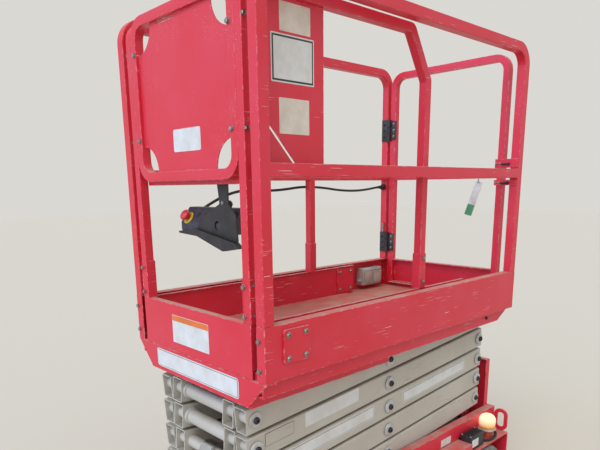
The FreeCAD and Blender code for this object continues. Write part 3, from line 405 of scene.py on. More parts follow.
def cut_plate(shape, outline, axis, start, end, holes=(), paint=0):
    """A flat plate across an axis, from start to end, drawn in the other two. A hole is (a, b, radius) or an outline."""
    lift = LIFTS[axis]
    loops = [outline] + [circle(*hole) if isinstance(hole[0], (int, float)) else hole for hole in holes]
    rims = []
    for loop in loops:
        verts = [shape.verts.new(lift(*spot, start)) for spot in loop]
        rims += [shape.edges.new(pair) for pair in zip(verts, verts[1:] + verts[:1])]
    faces = [item for item in bmesh.ops.triangle_fill(shape, use_beauty=True, use_dissolve=False, edges=rims)["geom"]
             if isinstance(item, bmesh.types.BMFace)]
    raised = bmesh.ops.extrude_face_region(shape, geom=faces, use_keep_orig=True)["geom"]
    top = [item for item in raised if isinstance(item, bmesh.types.BMVert)]
    bmesh.ops.translate(shape, vec=lift(0, 0, end - start), verts=top)
    group = list(linked(top))
    bmesh.ops.recalc_face_normals(shape, faces=tint(group, paint))
    return group


def tint(group, paint):
    """Gives the faces round some vertices a material by its number, and returns the faces."""
    faces = list({face for vert in group for face in vert.link_faces})
    for face in faces:
        face.material_index = paint
    return faces


def settle(name, shape, materials, body, sharp=35, soft=0.0):
    """Scales a mesh drawn in millimetres to metres, and makes it a piece that rides on a body."""
    bmesh.ops.scale(shape, vec=(MM, MM, MM), verts=shape.verts)
    mesh = bpy.data.meshes.new(name)
    shape.to_mesh(mesh)
    shape.free()
    for material in materials if isinstance(materials, (list, tuple)) else [materials]:
        mesh.materials.append(material)
    mesh.shade_smooth()
    mesh.set_sharp_from_angle(angle=math.radians(sharp))
    thing = bpy.data.objects.new(name, mesh)
    scene.collection.objects.link(thing)
    if soft:
        bevel = thing.modifiers.new("soft_edges", "BEVEL")
        bevel.width = soft * MM
        bevel.segments = 2
        bevel.limit_method = "ANGLE"
        bevel.angle_limit = math.radians(35)
        thing.modifiers.new("even_shading", "WEIGHTED_NORMAL").weight = 90
    if body:
        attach(thing, body)
    print(name, "faces", len(mesh.polygons))
    return thing


(REAR, RIGHT, TOE_LOW), (FRONT, LEFT, TOE_TOP) = measures("toe_board_left")
RIGHT = -LEFT
RAIL_TOP = measures("guardrail_left")[1][2]
EXT_SIDE = measures("extension_rail_left")[1][1]
print("platform from", REAR, "to", FRONT, "half width", LEFT, "toe boards", TOE_LOW, "to", TOE_TOP)

# %% [markdown]
# ## The control cable
# A black rubber cable of 11 mm runs from the control box along the right side to a round socket on the
# rear post. The box rolls out with the front platform, but here the cable is one fixed tube on neither body.
# Its line is a NURBS curve over a few listed points, and the tube follows points read back from that curve.
# It is a mesh rather than a bevelled curve.

# %% The cable's line
CABLE_SIZE = 0.011
CABLE_ROUTE = ((0.640, -0.140, 1.345), (0.640, -0.185, 1.345), (0.622, -0.238, 1.350), (0.575, -0.272, 1.372),
               (0.500, -0.285, 1.410), (0.400, -0.290, 1.452), (0.290, -0.296, 1.470), (0.180, -0.306, 1.462),
               (0.070, -0.318, 1.466), (-0.050, -0.330, 1.478), (-0.180, -0.331, 1.473), (-0.300, -0.331, 1.458),
               (-0.420, -0.334, 1.454), (-0.520, -0.342, 1.460), (-0.590, -0.355, 1.467), (-0.625, -0.360, 1.470),
               (-0.655, -0.360, 1.470))

line = bpy.data.curves.new("cable_line", "CURVE")
line.dimensions = "3D"
spline = line.splines.new("NURBS")
spline.points.add(len(CABLE_ROUTE) - 1)
for point, spot in zip(spline.points, CABLE_ROUTE):
    point.co = (*spot, 1)
spline.order_u = 3
spline.use_endpoint_u = True
line.resolution_u = 8
carrier = bpy.data.objects.new("cable_line", line)
scene.collection.objects.link(carrier)
read = bpy.data.meshes.new_from_object(carrier)
cable_path = [vert.co.copy() for vert in read.vertices]
bpy.data.objects.remove(carrier)

# %% The cable's tube


def tube_along(shape, path, radii, sides=12):
    """A tube along a path of points, with a radius at each, its ends closed."""
    rings = []
    side = Vector((0, 0, 1))
    for number, (spot, radius) in enumerate(zip(path, radii)):
        ahead = path[min(number + 1, len(path) - 1)] - path[max(number - 1, 0)]
        across = ahead.cross(side).normalized()
        side = across.cross(ahead).normalized()
        turn_to = Matrix((across, side, ahead.normalized())).transposed().to_4x4()
        ring = bmesh.ops.create_circle(shape, segments=sides, radius=radius,
                                       matrix=Matrix.Translation(spot) @ turn_to)["verts"]
        rings.append({edge for vert in ring for edge in vert.link_edges})
    for near, far in zip(rings, rings[1:]):
        bmesh.ops.bridge_loops(shape, edges=list(near | far))
    bmesh.ops.holes_fill(shape, edges=list(rings[0] | rings[-1]), sides=sides)
    bmesh.ops.recalc_face_normals(shape, faces=shape.faces)


tube = bmesh.new()
tube_along(tube, [spot / MM for spot in cable_path], [CABLE_SIZE / 2 / MM] * len(cable_path))
cable = settle("control_cable_run", tube, RUBBER, None, 60)

# Tapered boots where the cable leaves the box and where it enters the plug
BOOT = ((0.0, 9.5), (4.0, 9.5), (6.0, 8.6), (12.0, 8.4), (14.0, 7.4), (20.0, 7.3), (22.0, 6.5), (30.0, 6.2), (34.0, 5.8))
for name, end, back, body in (("cable_boot_box", 0, 1, "extension"), ("cable_boot_plug", -1, -2, "platform")):
    boot = bmesh.new()
    away = cable_path[back] - cable_path[end]
    outline = [(0, 0)] + [(radius, along) for along, radius in BOOT] + [(0, BOOT[-1][0])]
    turned(boot, outline, away, cable_path[end] / MM, 20)
    settle(name, boot, RUBBER, body)

plug_low, plug_high = measures("cable_plug")
PLUG_Y, PLUG_Z = (plug_low[1] + plug_high[1]) / 2, (plug_low[2] + plug_high[2]) / 2
plug = bmesh.new()
turned(plug, ((0, 0), (15, 0), (15, 3), (12.2, 3.4), (12.2, 8), (13.6, 8.6), (13.6, 17), (11.6, 18.4), (11.2, 22), (0, 22)),
       "+x", (plug_low[0], PLUG_Y, PLUG_Z), 32)
for number in range(12):
    angle = math.tau * number / 12
    slab(plug, (plug_low[0] + 9.2, PLUG_Y + 13.2 * math.cos(angle) - 1.1, PLUG_Z + 13.2 * math.sin(angle) - 1.1),
         (plug_low[0] + 16.4, PLUG_Y + 13.2 * math.cos(angle) + 1.1, PLUG_Z + 13.2 * math.sin(angle) + 1.1), 0.4)
cable_plug = settle("round_connector", plug, PLASTIC, "platform")
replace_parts(cable_plug, "cable_plug")

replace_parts(cable, "control_cable")
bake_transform(cable)

# %% [markdown]
# ## Rails, guard and sheets of the roll-out platform
# A welded frame of square tube is one flat outline with openings, pushed through the tube's width. So the
# roll-out rails, the front guard and the side sheet are cut plates with rounded corners, and a bevel rounds
# the tube's edges. Sweeping a square along a line would give the same tube, but not the joints without seams.
# They stand for the CAD nodes of the same shape, whose rear posts and corner cuts are a little off the photograph.

# %% Roll-out rails
MID, TUBE, POST_BACK = 1505, 32, FRONT - 860
EXT_TOP, SOCKET_FOOT, SOCKET_TOP = RAIL_TOP - 30, TOE_TOP - 2, TOE_TOP + 132
SLANT = (110, 170)
lean = math.atan2(*SLANT)
post_in, front_in = POST_BACK + TUBE, FRONT - TUBE
slant_x, slant_z = POST_BACK + SLANT[0], EXT_TOP - SLANT[1]
RAIL_LINE = ((POST_BACK, SOCKET_FOOT), (post_in, SOCKET_FOOT), (post_in, MID), (front_in, MID), (front_in, SOCKET_FOOT),
             (FRONT, SOCKET_FOOT), (FRONT, EXT_TOP), (slant_x, EXT_TOP), (POST_BACK, slant_z))
RAIL_OPEN = ((post_in, MID + TUBE), (front_in, MID + TUBE), (front_in, EXT_TOP - TUBE),
             (slant_x + TUBE * math.tan((math.pi / 2 - lean) / 2), EXT_TOP - TUBE),
             (post_in, slant_z - TUBE * math.tan(lean / 2)))
for side in (1, -1):
    name = "left" if side > 0 else "right"
    rail = bmesh.new()
    opening = rounded_corners(RAIL_OPEN, (0, 0, 28, 14, 14))
    cut_plate(rail, rounded_corners(RAIL_LINE, (0, 0, 0, 0, 0, 0, 60, 34, 34)), "y", side * (EXT_SIDE - TUBE),
              side * EXT_SIDE, [opening])
    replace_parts(settle("roll_out_rail_" + name, rail, RED, "extension", soft=2.5), "extension_rail_" + name)

# %% Sockets of the roll-out posts
sockets = bmesh.new()
for side in (1, -1):
    near, far = side * (EXT_SIDE - TUBE), side * EXT_SIDE
    near_out, far_out = near - side * 3, far + side * 3
    ring = ((POST_BACK - 3, near_out), (post_in + 3, near_out), (post_in + 3, far_out), (POST_BACK - 3, far_out))
    well = ((POST_BACK, near), (post_in, near), (post_in, far), (POST_BACK, far))
    cut_plate(sockets, rounded_corners(ring, 4), "z", SOCKET_FOOT, SOCKET_TOP, [well])
    open_ring = ((front_in - 3, near_out), (FRONT, near_out), (FRONT, near), (front_in, near), (front_in, far), (FRONT, far),
                 (FRONT, far_out), (front_in - 3, far_out))
    cut_plate(sockets, open_ring, "z", SOCKET_FOOT, SOCKET_TOP)
settle("post_sockets", sockets, RED, "extension", soft=0.6)

# %% Front guard: loop, sheet with cut corners, bar behind
GUARD_HALF, GUARD_FOOT = EXT_SIDE - TUBE, MID - 5
guard = bmesh.new()
loop = box_of(-GUARD_HALF, GUARD_HALF, GUARD_FOOT, EXT_TOP)
inner_half, sheet_low, sheet_high = GUARD_HALF - TUBE, GUARD_FOOT + TUBE, EXT_TOP - TUBE
window = box_of(-inner_half, inner_half, sheet_low, sheet_high)
cut_plate(guard, rounded_corners(loop, 70), "x", FRONT - TUBE, FRONT, [rounded_corners(window, 38)])
slab(guard, (FRONT - 2 * TUBE, -GUARD_HALF, GUARD_FOOT - 12), (FRONT - TUBE, GUARD_HALF, GUARD_FOOT + 20))
settle("front_loop", guard, RED, "extension", soft=2.5)
sheet = bmesh.new()
CORNER_CUT = 84
edge = []
for number, (y, z) in enumerate(window):
    for step in range(13):
        angle = math.pi * (1 - number) / -2 - math.pi / 2 * step / 12
        edge.append((y + CORNER_CUT * math.cos(angle + math.pi), z + CORNER_CUT * math.sin(angle + math.pi)))
slit = box_of(-130, -33, sheet_high - 10, sheet_high - 2)
cut_plate(sheet, edge, "x", FRONT - 14, FRONT - 11, [rounded_corners(slit, 3.9)])
front_sheet = settle("front_sheet", sheet, RED, "extension", soft=0.5)
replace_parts(front_sheet, "front_guard")

# %% Side sheet with its slanted slot
side_sheet = bmesh.new()
cut_plate(side_sheet, box_of(FRONT - 318, FRONT - TUBE, MID + TUBE, EXT_TOP - TUBE), "y", EXT_SIDE - 18, EXT_SIDE - 15,
          [((FRONT - 97, 1655), (FRONT - 87, 1655), (FRONT - 189, 1546), (FRONT - 199, 1546))])
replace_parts(settle("side_sheet", side_sheet, RED, "extension", soft=0.5), "side_panel")

# %% [markdown]
# ## Gate and hinges
# The rear gate is the same kind of frame, with a folded toe panel, black butt hinges on one post and two
# catch plates that reach over the other. Hinge leaves are 6 mm plate round a pin, drawn as slabs and turned
# barrels, since leaf and barrel catch the light apart.

# %% Gate
GATE_RIGHT, GATE_LEFT, GATE_TUBE, GATE_FOOT, GATE_HEAD = -330, 306, 30, TOE_LOW + 45, RAIL_TOP - 20
near_in, far_in = GATE_LEFT - GATE_TUBE, GATE_RIGHT + GATE_TUBE
gate = bmesh.new()
upper = rounded_corners(box_of(far_in, near_in, MID + GATE_TUBE, GATE_HEAD - GATE_TUBE), (0, 0, 40, 40))
cut_plate(gate, rounded_corners(box_of(GATE_RIGHT, GATE_LEFT, GATE_FOOT, GATE_HEAD), (0, 0, 70, 70)), "x", REAR,
          REAR + GATE_TUBE, [upper, box_of(far_in, near_in, TOE_TOP, MID), box_of(far_in, near_in, GATE_FOOT + 4, TOE_TOP - 4)])
slab(gate, (REAR, far_in, GATE_FOOT + 4), (REAR + 4, near_in, TOE_TOP - 4))
for low, high in ((1549, 1587), (1474, 1497)):
    slab(gate, (REAR + GATE_TUBE, near_in - 4, low), (REAR + 39, GATE_LEFT, high), 1)
    slab(gate, (REAR + 39, near_in - 4, low), (REAR + 44, LEFT - 4, high), 1)
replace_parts(settle("rear_gate", gate, RED, "gate", soft=2.0), "gate")
sill = bmesh.new()
slab(sill, (REAR, -342, TOE_LOW + 1), (REAR + 4, 342, TOE_LOW + 38))
settle("rear_sill", sill, RED, "platform", soft=0.8)

# %% Hinges
HINGE_AT = (REAR + 40, GATE_RIGHT - 2)
LEAF_Z = ((1135, 1228), (1709, 1802))
moving, fixed = bmesh.new(), bmesh.new()
for low, high in LEAF_Z:
    slab(moving, (REAR + 30, HINGE_AT[1] + 9, low), (REAR + 36, HINGE_AT[1] + 41, high), 1)
    slab(moving, (REAR + 30, HINGE_AT[1], low + 30), (REAR + 38, HINGE_AT[1] + 12, high - 30), 0.6)
    turned(moving, ((0, 0), (8, 0), (8, high - low - 60), (0, high - low - 60)), "+z", (*HINGE_AT, low + 30))
    slab(fixed, (REAR + 38, -LEFT + 4, low - 7), (REAR + 44, HINGE_AT[1] - 9, high + 7), 1)
    for foot, head in ((low - 7, low + 28), (high - 28, high + 7)):
        turned(fixed, ((0, 0), (8, 0), (8, head - foot), (0, head - foot)), "+z", (*HINGE_AT, foot))
        slab(fixed, (REAR + 38, HINGE_AT[1] - 12, foot), (REAR + 44, HINGE_AT[1], head), 0.6)
settle("gate_leaves", moving, BLACK, "gate")
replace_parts(settle("post_leaves", fixed, BLACK, "platform"), "gate_hinges")

# %% [markdown]
# ## Boxes, lamp and ladder
# The outlet box, the charger box and the lamp are bought parts, moulded with soft edges. The entry ladder is
# one sheet with two foot openings and folded edges.

# %% Outlet box, charger box, lamp
OUTLET = ((REAR + 85, -LEFT + 4, TOE_LOW + 45), (REAR + 235, -LEFT + 54, TOE_LOW + 135))
CHARGER = ((-560, 310, 276), (-440, 366, 345))
LAMP_AT = (-636, 337, 276)
outlet_body = bmesh.new()
slab(outlet_body, *OUTLET, 5, 3)
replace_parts(settle("outlet_housing", outlet_body, GREY_BOX, "platform"), "outlet_box")
charger_body = bmesh.new()
slab(charger_body, *CHARGER, 7, 3)
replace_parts(settle("charger_housing", charger_body, PLASTIC, "chassis"), "charger_box")
lamp = bmesh.new()
turned(lamp, ((0, 0), (26, 0), (26, 4), (21, 8), (20, 40), (27, 46), (0, 46)), "+z", LAMP_AT, 36, 2)
turned(lamp, ((0, 46), (39, 46), (42, 48), (42, 52), (40, 54), (0, 54)), "+z", LAMP_AT, 36, 1)
crown = [(12 + 27 * math.cos(t * math.pi / 16), 92 + 30 * math.sin(t * math.pi / 16)) for t in range(9)]
turned(lamp, [(0, 54), (36, 54), (38, 57), (38.4, 74), (39, 76), (39, 90)] + crown + [(0, 122)], "+z", LAMP_AT, 36, 0)
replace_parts(settle("flashing_lamp", lamp, (AMBER, PALE, LAMP_BASE), "chassis", 40), "beacon")

# %% Entry ladder
LADDER_BACK, LADDER_HALF, LADDER_LOW, LADDER_HIGH = -764, 262, 340, 632
ladder = bmesh.new()
steps = [rounded_corners(box_of(-202, 202, low, low + 46), 8) for low in (372, 522)]
cut_plate(ladder, rounded_corners(box_of(-LADDER_HALF, LADDER_HALF, LADDER_LOW, LADDER_HIGH), 3), "x", LADDER_BACK,
          LADDER_BACK + 4, steps)
for y0, y1 in ((-LADDER_HALF, 4 - LADDER_HALF), (LADDER_HALF - 4, LADDER_HALF)):
    slab(ladder, (LADDER_BACK + 4, y0, LADDER_LOW), (LADDER_BACK + 30, y1, LADDER_HIGH))
slab(ladder, (LADDER_BACK + 4, 4 - LADDER_HALF, LADDER_HIGH - 4), (LADDER_BACK + 30, LADDER_HALF - 4, LADDER_HIGH))
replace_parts(settle("ladder_sheet", ladder, RED, "chassis", soft=1.0), "entry_ladder")

# %% [markdown]
# ## Console and cradle
# The console is a moulded slate shell with a sloping head. It sits on a folded tray, and a plate with a round
# hole hangs the tray from the bar behind the guard. The plate's outline was read off the photograph.

# %% Console shell and cradle
CON_LOW, CON_HIGH = (590, -140, 1335), (702, 160, 1415)
shell = bmesh.new()
profile = ((590, 1335), (702, 1335), (702, 1365), (666, 1415), (630, 1415), (590, 1365))
cut_plate(shell, rounded_corners(profile, 7), "y", CON_LOW[1], CON_HIGH[1])
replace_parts(settle("console_shell", shell, CONSOLE, "extension", soft=4), "control_box")
CRADLE_PLATE = ((0.722, 0.710), (0.077, 0.864), (0.101, 0.502), (0.207, 0.344), (0.201, 0), (0.373, 0), (0.340, 0.344),
                (0.654, 0.548))
TRAY = ((1, 0.792), (0.680, 0.819), (0.254, 1), (0, 0.937), (0.077, 0.864), (0.722, 0.710), (1, 0.765))


def on_cradle(share, drop):
    """A place on the cradle's face from shares of its width, from its left, and of its height, downwards."""
    return (211 - share * 338, MID - drop * 221)


cradle = bmesh.new()
cut_plate(cradle, rounded_corners([on_cradle(*spot) for spot in CRADLE_PLATE], 4), "x", 702, 706,
          [(*on_cradle(0.388, 0.652), 15)])
cut_plate(cradle, rounded_corners([on_cradle(*spot) for spot in TRAY], 2), "x", 702, 722)
settle("control_cradle", cradle, CRADLE, "extension", soft=1.0)

# %% [markdown]
# ## Sleeves on the arms' cross tubes
# The cross tubes between the inner arms show thick sleeves with a collar at each arm. They are turned forms
# lying across the machine.

# %% Cross tube sleeves
ARM_IN = 131
for level in (3, 4):
    sleeve = bmesh.new()
    z = 358 + 100 * level
    half = ARM_IN - 0.5
    turned(sleeve, ((0, -half), (31, -half), (31, 16 - half), (26, 17 - half), (26, half - 17), (31, half - 16), (31, half),
                    (0, half)), "+y", (715, 0, z), 32)
    settle(f"tube_sleeve_{level}", sleeve, ARM, f"inner_{level}", soft=1.0)

# %% [markdown]
# ## Bolts
# The guardrails are bolted into sleeves, the toe boards into the posts. A hex head is a six sided
# cylinder with its top corners turned off, on a round washer. All the bolts on one body are one piece,
# placed from a table of the spots that show.

# %% Bolt heads


def hex_bolt(shape, at, direction, across=13.0, paint=0):
    """A washer and a hex head with chamfered corners, standing on a surface."""
    turned(shape, ((0, 0), (0.62 * across, 0), (0.62 * across, 1.4), (0.56 * across, 1.8), (0, 1.8)), direction, at,
           20, paint)
    head = bmesh.ops.create_cone(shape, cap_ends=True, segments=6, radius1=across / math.sqrt(3),
                                 radius2=across / math.sqrt(3), depth=0.42 * across)["verts"]
    bmesh.ops.translate(shape, vec=(0, 0, 1.8 + 0.21 * across), verts=head)
    rim = [edge for edge in {e for vert in head for e in vert.link_edges}
           if all(vert.co.z > 1.8 + 0.4 * across for vert in edge.verts)]
    made = bmesh.ops.bevel(shape, geom=rim, offset=0.09 * across, segments=2, profile=0.5, affect="EDGES",
                           material=-1)["verts"]
    head = list(linked(made))
    tint(head, paint)
    bmesh.ops.transform(shape, matrix=facing(direction, at), verts=head)


def button_bolt(shape, at, direction, radius=9.0, paint=0):
    """A low domed head with a socket, on a washer."""
    turned(shape, ((0, 0), (1.35 * radius, 0), (1.35 * radius, 1.5), (1.2 * radius, 2), (radius, 2), (0.95 * radius, 3.4),
                   (0.75 * radius, 5), (0.48 * radius, 5.8), (0.44 * radius, 3.2), (0, 3.2)), direction, at, 20, paint)


BOLTS = {
    "platform": [((FRONT, y, z), "+x") for y in (354, -369) for z in (1046, 956)]
                + [((REAR, side * 361, z), "-x") for side in (1, -1) for z in (1046, 956)],
    "extension": [((FRONT, y, z), "+x") for y in (292, -310) for z in (1197, 1108)]
                 + [((x, side * (EXT_SIDE + 3), z), "+y" if side > 0 else "-y") for side in (1, -1)
                    for x in (POST_BACK + 16, 754) for z in (1205, 1116)]
                 + [((762, side * EXT_SIDE, z), "+y" if side > 0 else "-y") for side in (1, -1) for z in (1635, 1917)]
                 + [((FRONT, side * 262, z), "+x") for side in (1, -1) for z in (1907, 1636)],
}
for body, spots in BOLTS.items():
    heads = bmesh.new()
    for at, direction in spots:
        hex_bolt(heads, at, direction)
    settle("bolts_" + body, heads, ZINC, body)

# %% [markdown]
# ## Slide plates
# The roll-out platform slides on pads behind square plates with four bolts each: one outside each main
# toe board near its front, one inside each roll-out board at its rear. They are cut from 6 mm plate with
# rounded corners. Three boxes and a boolean would do, but a filled outline keeps the corners round.

# %% Slide plates
EXT_TOE = measures("extension_deck")[0][0]
PLATE_THICK = 6
for side in (1, -1):
    sense = "+y" if side > 0 else "-y"
    for kind, body, face, out, x0, x1, z0, z1 in (
            ("main", "platform", side * LEFT, side, 596, 702, 969, 1073),
            ("inner", "extension", side * (EXT_SIDE - 4), -side, EXT_TOE + 2, EXT_TOE + 116, 958, 1076)):
        name = kind + ("_left" if side > 0 else "_right")
        direction = "+y" if out > 0 else "-y"
        plate = bmesh.new()
        corners = rounded_corners(((x0, z0), (x1, z0), (x1, z1), (x0, z1)), 9)
        cut_plate(plate, corners, "y", face, face + out * PLATE_THICK)
        settle("slide_plate_" + name, plate, RED, body, soft=1.2)
        heads = bmesh.new()
        for x in (x0 + 18, x1 - 18):
            for z in (z0 + 15, z1 - 17):
                button_bolt(heads, (x, face + out * PLATE_THICK, z), direction, 7)
        settle("slide_bolts_" + name, heads, ZINC, body)

# %% [markdown]
# ## Pivot pins of the scissor
# Each outer arm carries a pale steel washer and a dark domed cap screw where a pin ends: at its rear, its
# centre and its front. They ride on their own arm, so they turn with it. The lowest front end has its
# roller in the channel there instead. The arm's axis falls 100 mm over its run, which gives each height.

# %% Pivot caps
PIN_REAR, PIN_RUN, LEVEL_RISE, PIN_BASE = -650, 1365, 100, 358
ARM_FACE = 255
BOSS = 3


def arm_axis(level, x):
    """The height of an outer arm's middle line at a distance along the machine."""
    return PIN_BASE + level * LEVEL_RISE - (x - PIN_REAR) * LEVEL_RISE / PIN_RUN


for level in range(1, 6):
    caps = bmesh.new()
    for side in (1, -1):
        direction = "+y" if side > 0 else "-y"
        for x in (PIN_REAR, PIN_REAR + PIN_RUN / 2, PIN_REAR + PIN_RUN):
            if level == 1 and x > 0.5 * PIN_RUN + PIN_REAR:
                continue
            at = (x, side * (ARM_FACE + BOSS), arm_axis(level, x))
            thick = 7 if 1 < level < 5 else 2
            turned(caps, ((0, 0), (27, 0), (27, 0.4 * thick), (25, 0.7 * thick), (19, 0.92 * thick), (13, thick), (0, thick)),
                   direction, at, 28, 0)
            head = (x, side * (ARM_FACE + BOSS + thick), at[2])
            turned(caps, ((0, 0), (12, 0), (12, 3), (11, 5.8), (9, 7.6), (5.4, 8.4), (5, 4.6), (0, 4.6)), direction, head,
                   20, 1)
    settle(f"pivot_caps_{level}", caps, (CAP, BLACK), f"outer_{level}")

# %% [markdown]
# ## Labels, left blank
# The machine is covered in printed vinyl. Their places, sizes, colours and rims follow the photograph,
# but no word or mark is put on them. Each is a film 0.4 mm thick, cut to a rounded outline, with the
# printed rim as a larger film below. A label could be painted in the shader, but a film has an edge that
# catches light and dust as the real one does.

# %% Label films


def inset(corners, by):
    """The corners of an outline moved inwards."""
    middle = sum((Vector(corner) for corner in corners), Vector((0, 0))) / len(corners)
    return [(a + math.copysign(by, middle[0] - a), b + math.copysign(by, middle[1] - b)) for a, b in corners]


def on_arm(level, x0, x1, low, high):
    """The corners of a label that lies along an outer arm."""
    return ((x0, arm_axis(level, x0) + low), (x1, arm_axis(level, x1) + low),
            (x1, arm_axis(level, x1) + high), (x0, arm_axis(level, x0) + high))


SHEET_Y = EXT_SIDE - 15
SHEET_X = FRONT - 11
CHARGER_Y = CHARGER[1][1]
CHANNEL_Y = measures("roller_channels")[1][1]
COVER_Y = measures("side_cover_left")[1][1]
FIELDS = {"white": LABEL, "cream": CREAM, "ink": INK, "orange": ORANGE_INK, "arm": ARM}
# name, body, axis, face, way out, corners, printed line (inset and width), corner radius, field, band
LABELS = (
    ("toe_front", "extension", "x", FRONT, 1, box_of(-126, 96, 953, 1051), None, 3, "white", (0.8, 1, "orange")),
    ("apron", "platform", "x", FRONT, 1, box_of(-248, 248, 840, 908), (4, 1.6), 11, "white", None),
    ("front_sheet", "extension", "x", SHEET_X, 1, box_of(-64, 90, 1590, 1658), None, 7, "white", None),
    ("side_sheet_top", "extension", "y", SHEET_Y, 1, box_of(507, 626, 1901, 1977), None, 2, "cream", None),
    ("side_sheet_mid", "extension", "y", SHEET_Y, 1, box_of(493, 659, 1766, 1894), (4, 5), 3, "white", None),
    ("side_sheet_low", "extension", "y", SHEET_Y, 1, box_of(514, 632, 1628, 1726), None, 2, "cream", None),
    ("arm_four_wide", "outer_4", "y", ARM_FACE, 1, on_arm(4, 218, 497, -10, 43), None, 4, "white", None),
    ("arm_four_front", "outer_4", "y", ARM_FACE, 1, on_arm(4, 550, 679, -10, 38), (1, 1.4), 7, "arm", None),
    ("arm_three_front", "outer_3", "y", ARM_FACE, 1, on_arm(3, 124, 618, -15, 38), (4, 1.6), 8, "white", None),
    ("arm_three_rear", "outer_3", "y", ARM_FACE, 1, on_arm(3, -534, -58, -21, 32), (4, 1.6), 8, "white", None),
    ("channel", "chassis", "y", CHANNEL_Y, 1, box_of(-372, -293, 328, 362), None, 3, "white", None),
    ("charger", "chassis", "y", CHARGER_Y, 1, box_of(-508, -452, 292, 330), None, 3, "white", None),
)
FILM = 0.4
for name, body, axis, face, out, corners, line, radius, field, band in LABELS:
    layers = [(corners, radius, 0)]
    if line:
        start, width = line
        layers += [(inset(corners, start), max(radius - start, 1), 1), (inset(corners, start + width), max(radius - start - width, 1), 0)]
    materials = [FIELDS[field], INK]
    if band:
        low, high, colour = band
        a, b, c, d = (Vector(corner) for corner in inset(corners, 1.5))
        layers.append(([a.lerp(d, low), b.lerp(c, low), b.lerp(c, high), a.lerp(d, high)], 1, 2))
        materials.append(FIELDS[colour])
    film = bmesh.new()
    for number, (outline, bend, paint) in enumerate(layers, start=1):
        cut_plate(film, rounded_corners(outline, bend), axis, face, face + out * FILM * number, paint=paint)
    settle("label_" + name, film, materials, body)

# %% [markdown]
# ## The console
# The console's sloping face carries a red stop button on a yellow ring, a row of round keys and a joystick
# in a ribbed rubber bellows. All of these are turned forms, since that is how the real ones are moulded.
# The photograph shows only the button and the bellows well; the keys are a guess and stay plain.

# %% Console
CON_END = CON_LOW[1]
stop = bmesh.new()
SLOPE = (0.81, 0, 0.585)
STOP_AT = (692, -107, 1379)
turned(stop, ((0, -4), (22, -4), (22, 1.5), (20, 3), (0, 3)), SLOPE, STOP_AT, 32, 1)
turned(stop, ((0, 2), (10, 2), (10, 14), (18, 15), (19.5, 18), (19, 22), (15.5, 26), (9, 28.5), (0, 29.2)), SLOPE, STOP_AT,
       32, 0)
settle("stop_button", stop, (STOP_RED, YELLOW), "extension")

stick = bmesh.new()
bellows = [(0, -4), (21, -4), (21, 2)]
for fold in range(4):
    bellows += [(19.5 - 2.4 * fold, 3 + 5 * fold), (16 - 2.4 * fold, 5.5 + 5 * fold)]
bellows += [(8, 24), (9, 27), (13, 31), (14, 38), (11, 45), (5, 48), (0, 48.5)]
turned(stick, bellows, (0.3, 0, 0.95), (681, 124, 1393), 28)
settle("joystick", stick, PLASTIC, "extension", 40)

keys = bmesh.new()
for y in (-60, -18, 24, 66):
    turned(keys, ((0, -3), (9, -3), (9, 1.2), (8, 2), (7, 2), (6.6, 3.6), (0, 4)), SLOPE, (683, y, 1391), 24)
settle("console_keys", keys, PLASTIC, "extension")

strap_bolt = bmesh.new()
button_bolt(strap_bolt, (706, 112, 1432), "+x", 5)
settle("strap_bolt", strap_bolt, ZINC, "extension")

# %% [markdown]
# ## Gate fittings
# Two butt hinges hold the gate, with three screws in each leaf and a bright pull pin above the lower one.
# Two catch plates reach over the post on the other side, each with two bolts. A worn card tag hangs from
# the gate's mid rail on a wire, printed green at its foot and otherwise blank.

# %% Hinges, catch and tag
POST_LEAF_X, GATE_LEAF_X = REAR + 44, REAR + 36
for body, x, y in (("platform", POST_LEAF_X, -360), ("gate", GATE_LEAF_X, -307)):
    heads = bmesh.new()
    for z0, z1 in LEAF_Z:
        for share in (0.18, 0.5, 0.82):
            button_bolt(heads, (x, y, z0 + share * (z1 - z0)), "+x", 5.5)
    settle("hinge_screws_" + body, heads, ZINC if body == "gate" else BLACK, body)

pull = bmesh.new()
turned(pull, ((0, 0), (5, 0), (5, 38), (8, 39), (8, 46), (5, 48), (0, 48)), "+z", (REAR + 50, -352, 1235), 20)
settle("hinge_pull_pin", pull, ZINC, "platform")

catch = bmesh.new()
for z in (1568, 1485.5):
    for y in (280, 297):
        hex_bolt(catch, (REAR + 44, y, z), "+x", 8)
    turned(catch, ((0, 0), (4.5, 0), (4.5, 26), (6, 27), (6, 34), (4.5, 35), (0, 35)), "+y", (REAR + 49, 307, z - 3), 20, 1)
settle("gate_catch_bolts", catch, (ZINC, BLACK), "gate")

TAG_X = REAR + 34
tag = bmesh.new()
TAG = ((125, 1341), (163, 1333), (214, 1487), (178, 1495))
cut_plate(tag, rounded_corners(TAG, 6), "x", TAG_X, TAG_X + 0.8, [(192, 1482, 3)])
cut_plate(tag, rounded_corners(((126, 1342), (162.4, 1334.2), (178.6, 1383), (143, 1391)), 3), "x", TAG_X + 0.8, TAG_X + 1.1,
          paint=1)
settle("card_tag", tag, (PAPER, GREEN_INK), "gate")
wire = bmesh.new()
loop = [Vector((TAG_X + 1 + 4 * math.sin(math.pi * t / 12), 192 + 3 * math.cos(math.pi * t / 12), 1482 + 22 * math.sin(math.pi * t / 12)))
        for t in range(13)]
tube_along(wire, loop, [0.9] * len(loop), 8)
settle("tag_wire", wire, BLACK, "gate")

# %% [markdown]
# ## Lamp cable and charger box
# A thick black cable runs in a loose loop on the shelf from the charger box round the lamp's foot. The
# charger's lid has four screws and cooling ribs. The loop is a smooth line through a few points, read
# from the same kind of curve as the control cable.

# %% Lamp cable, charger lid


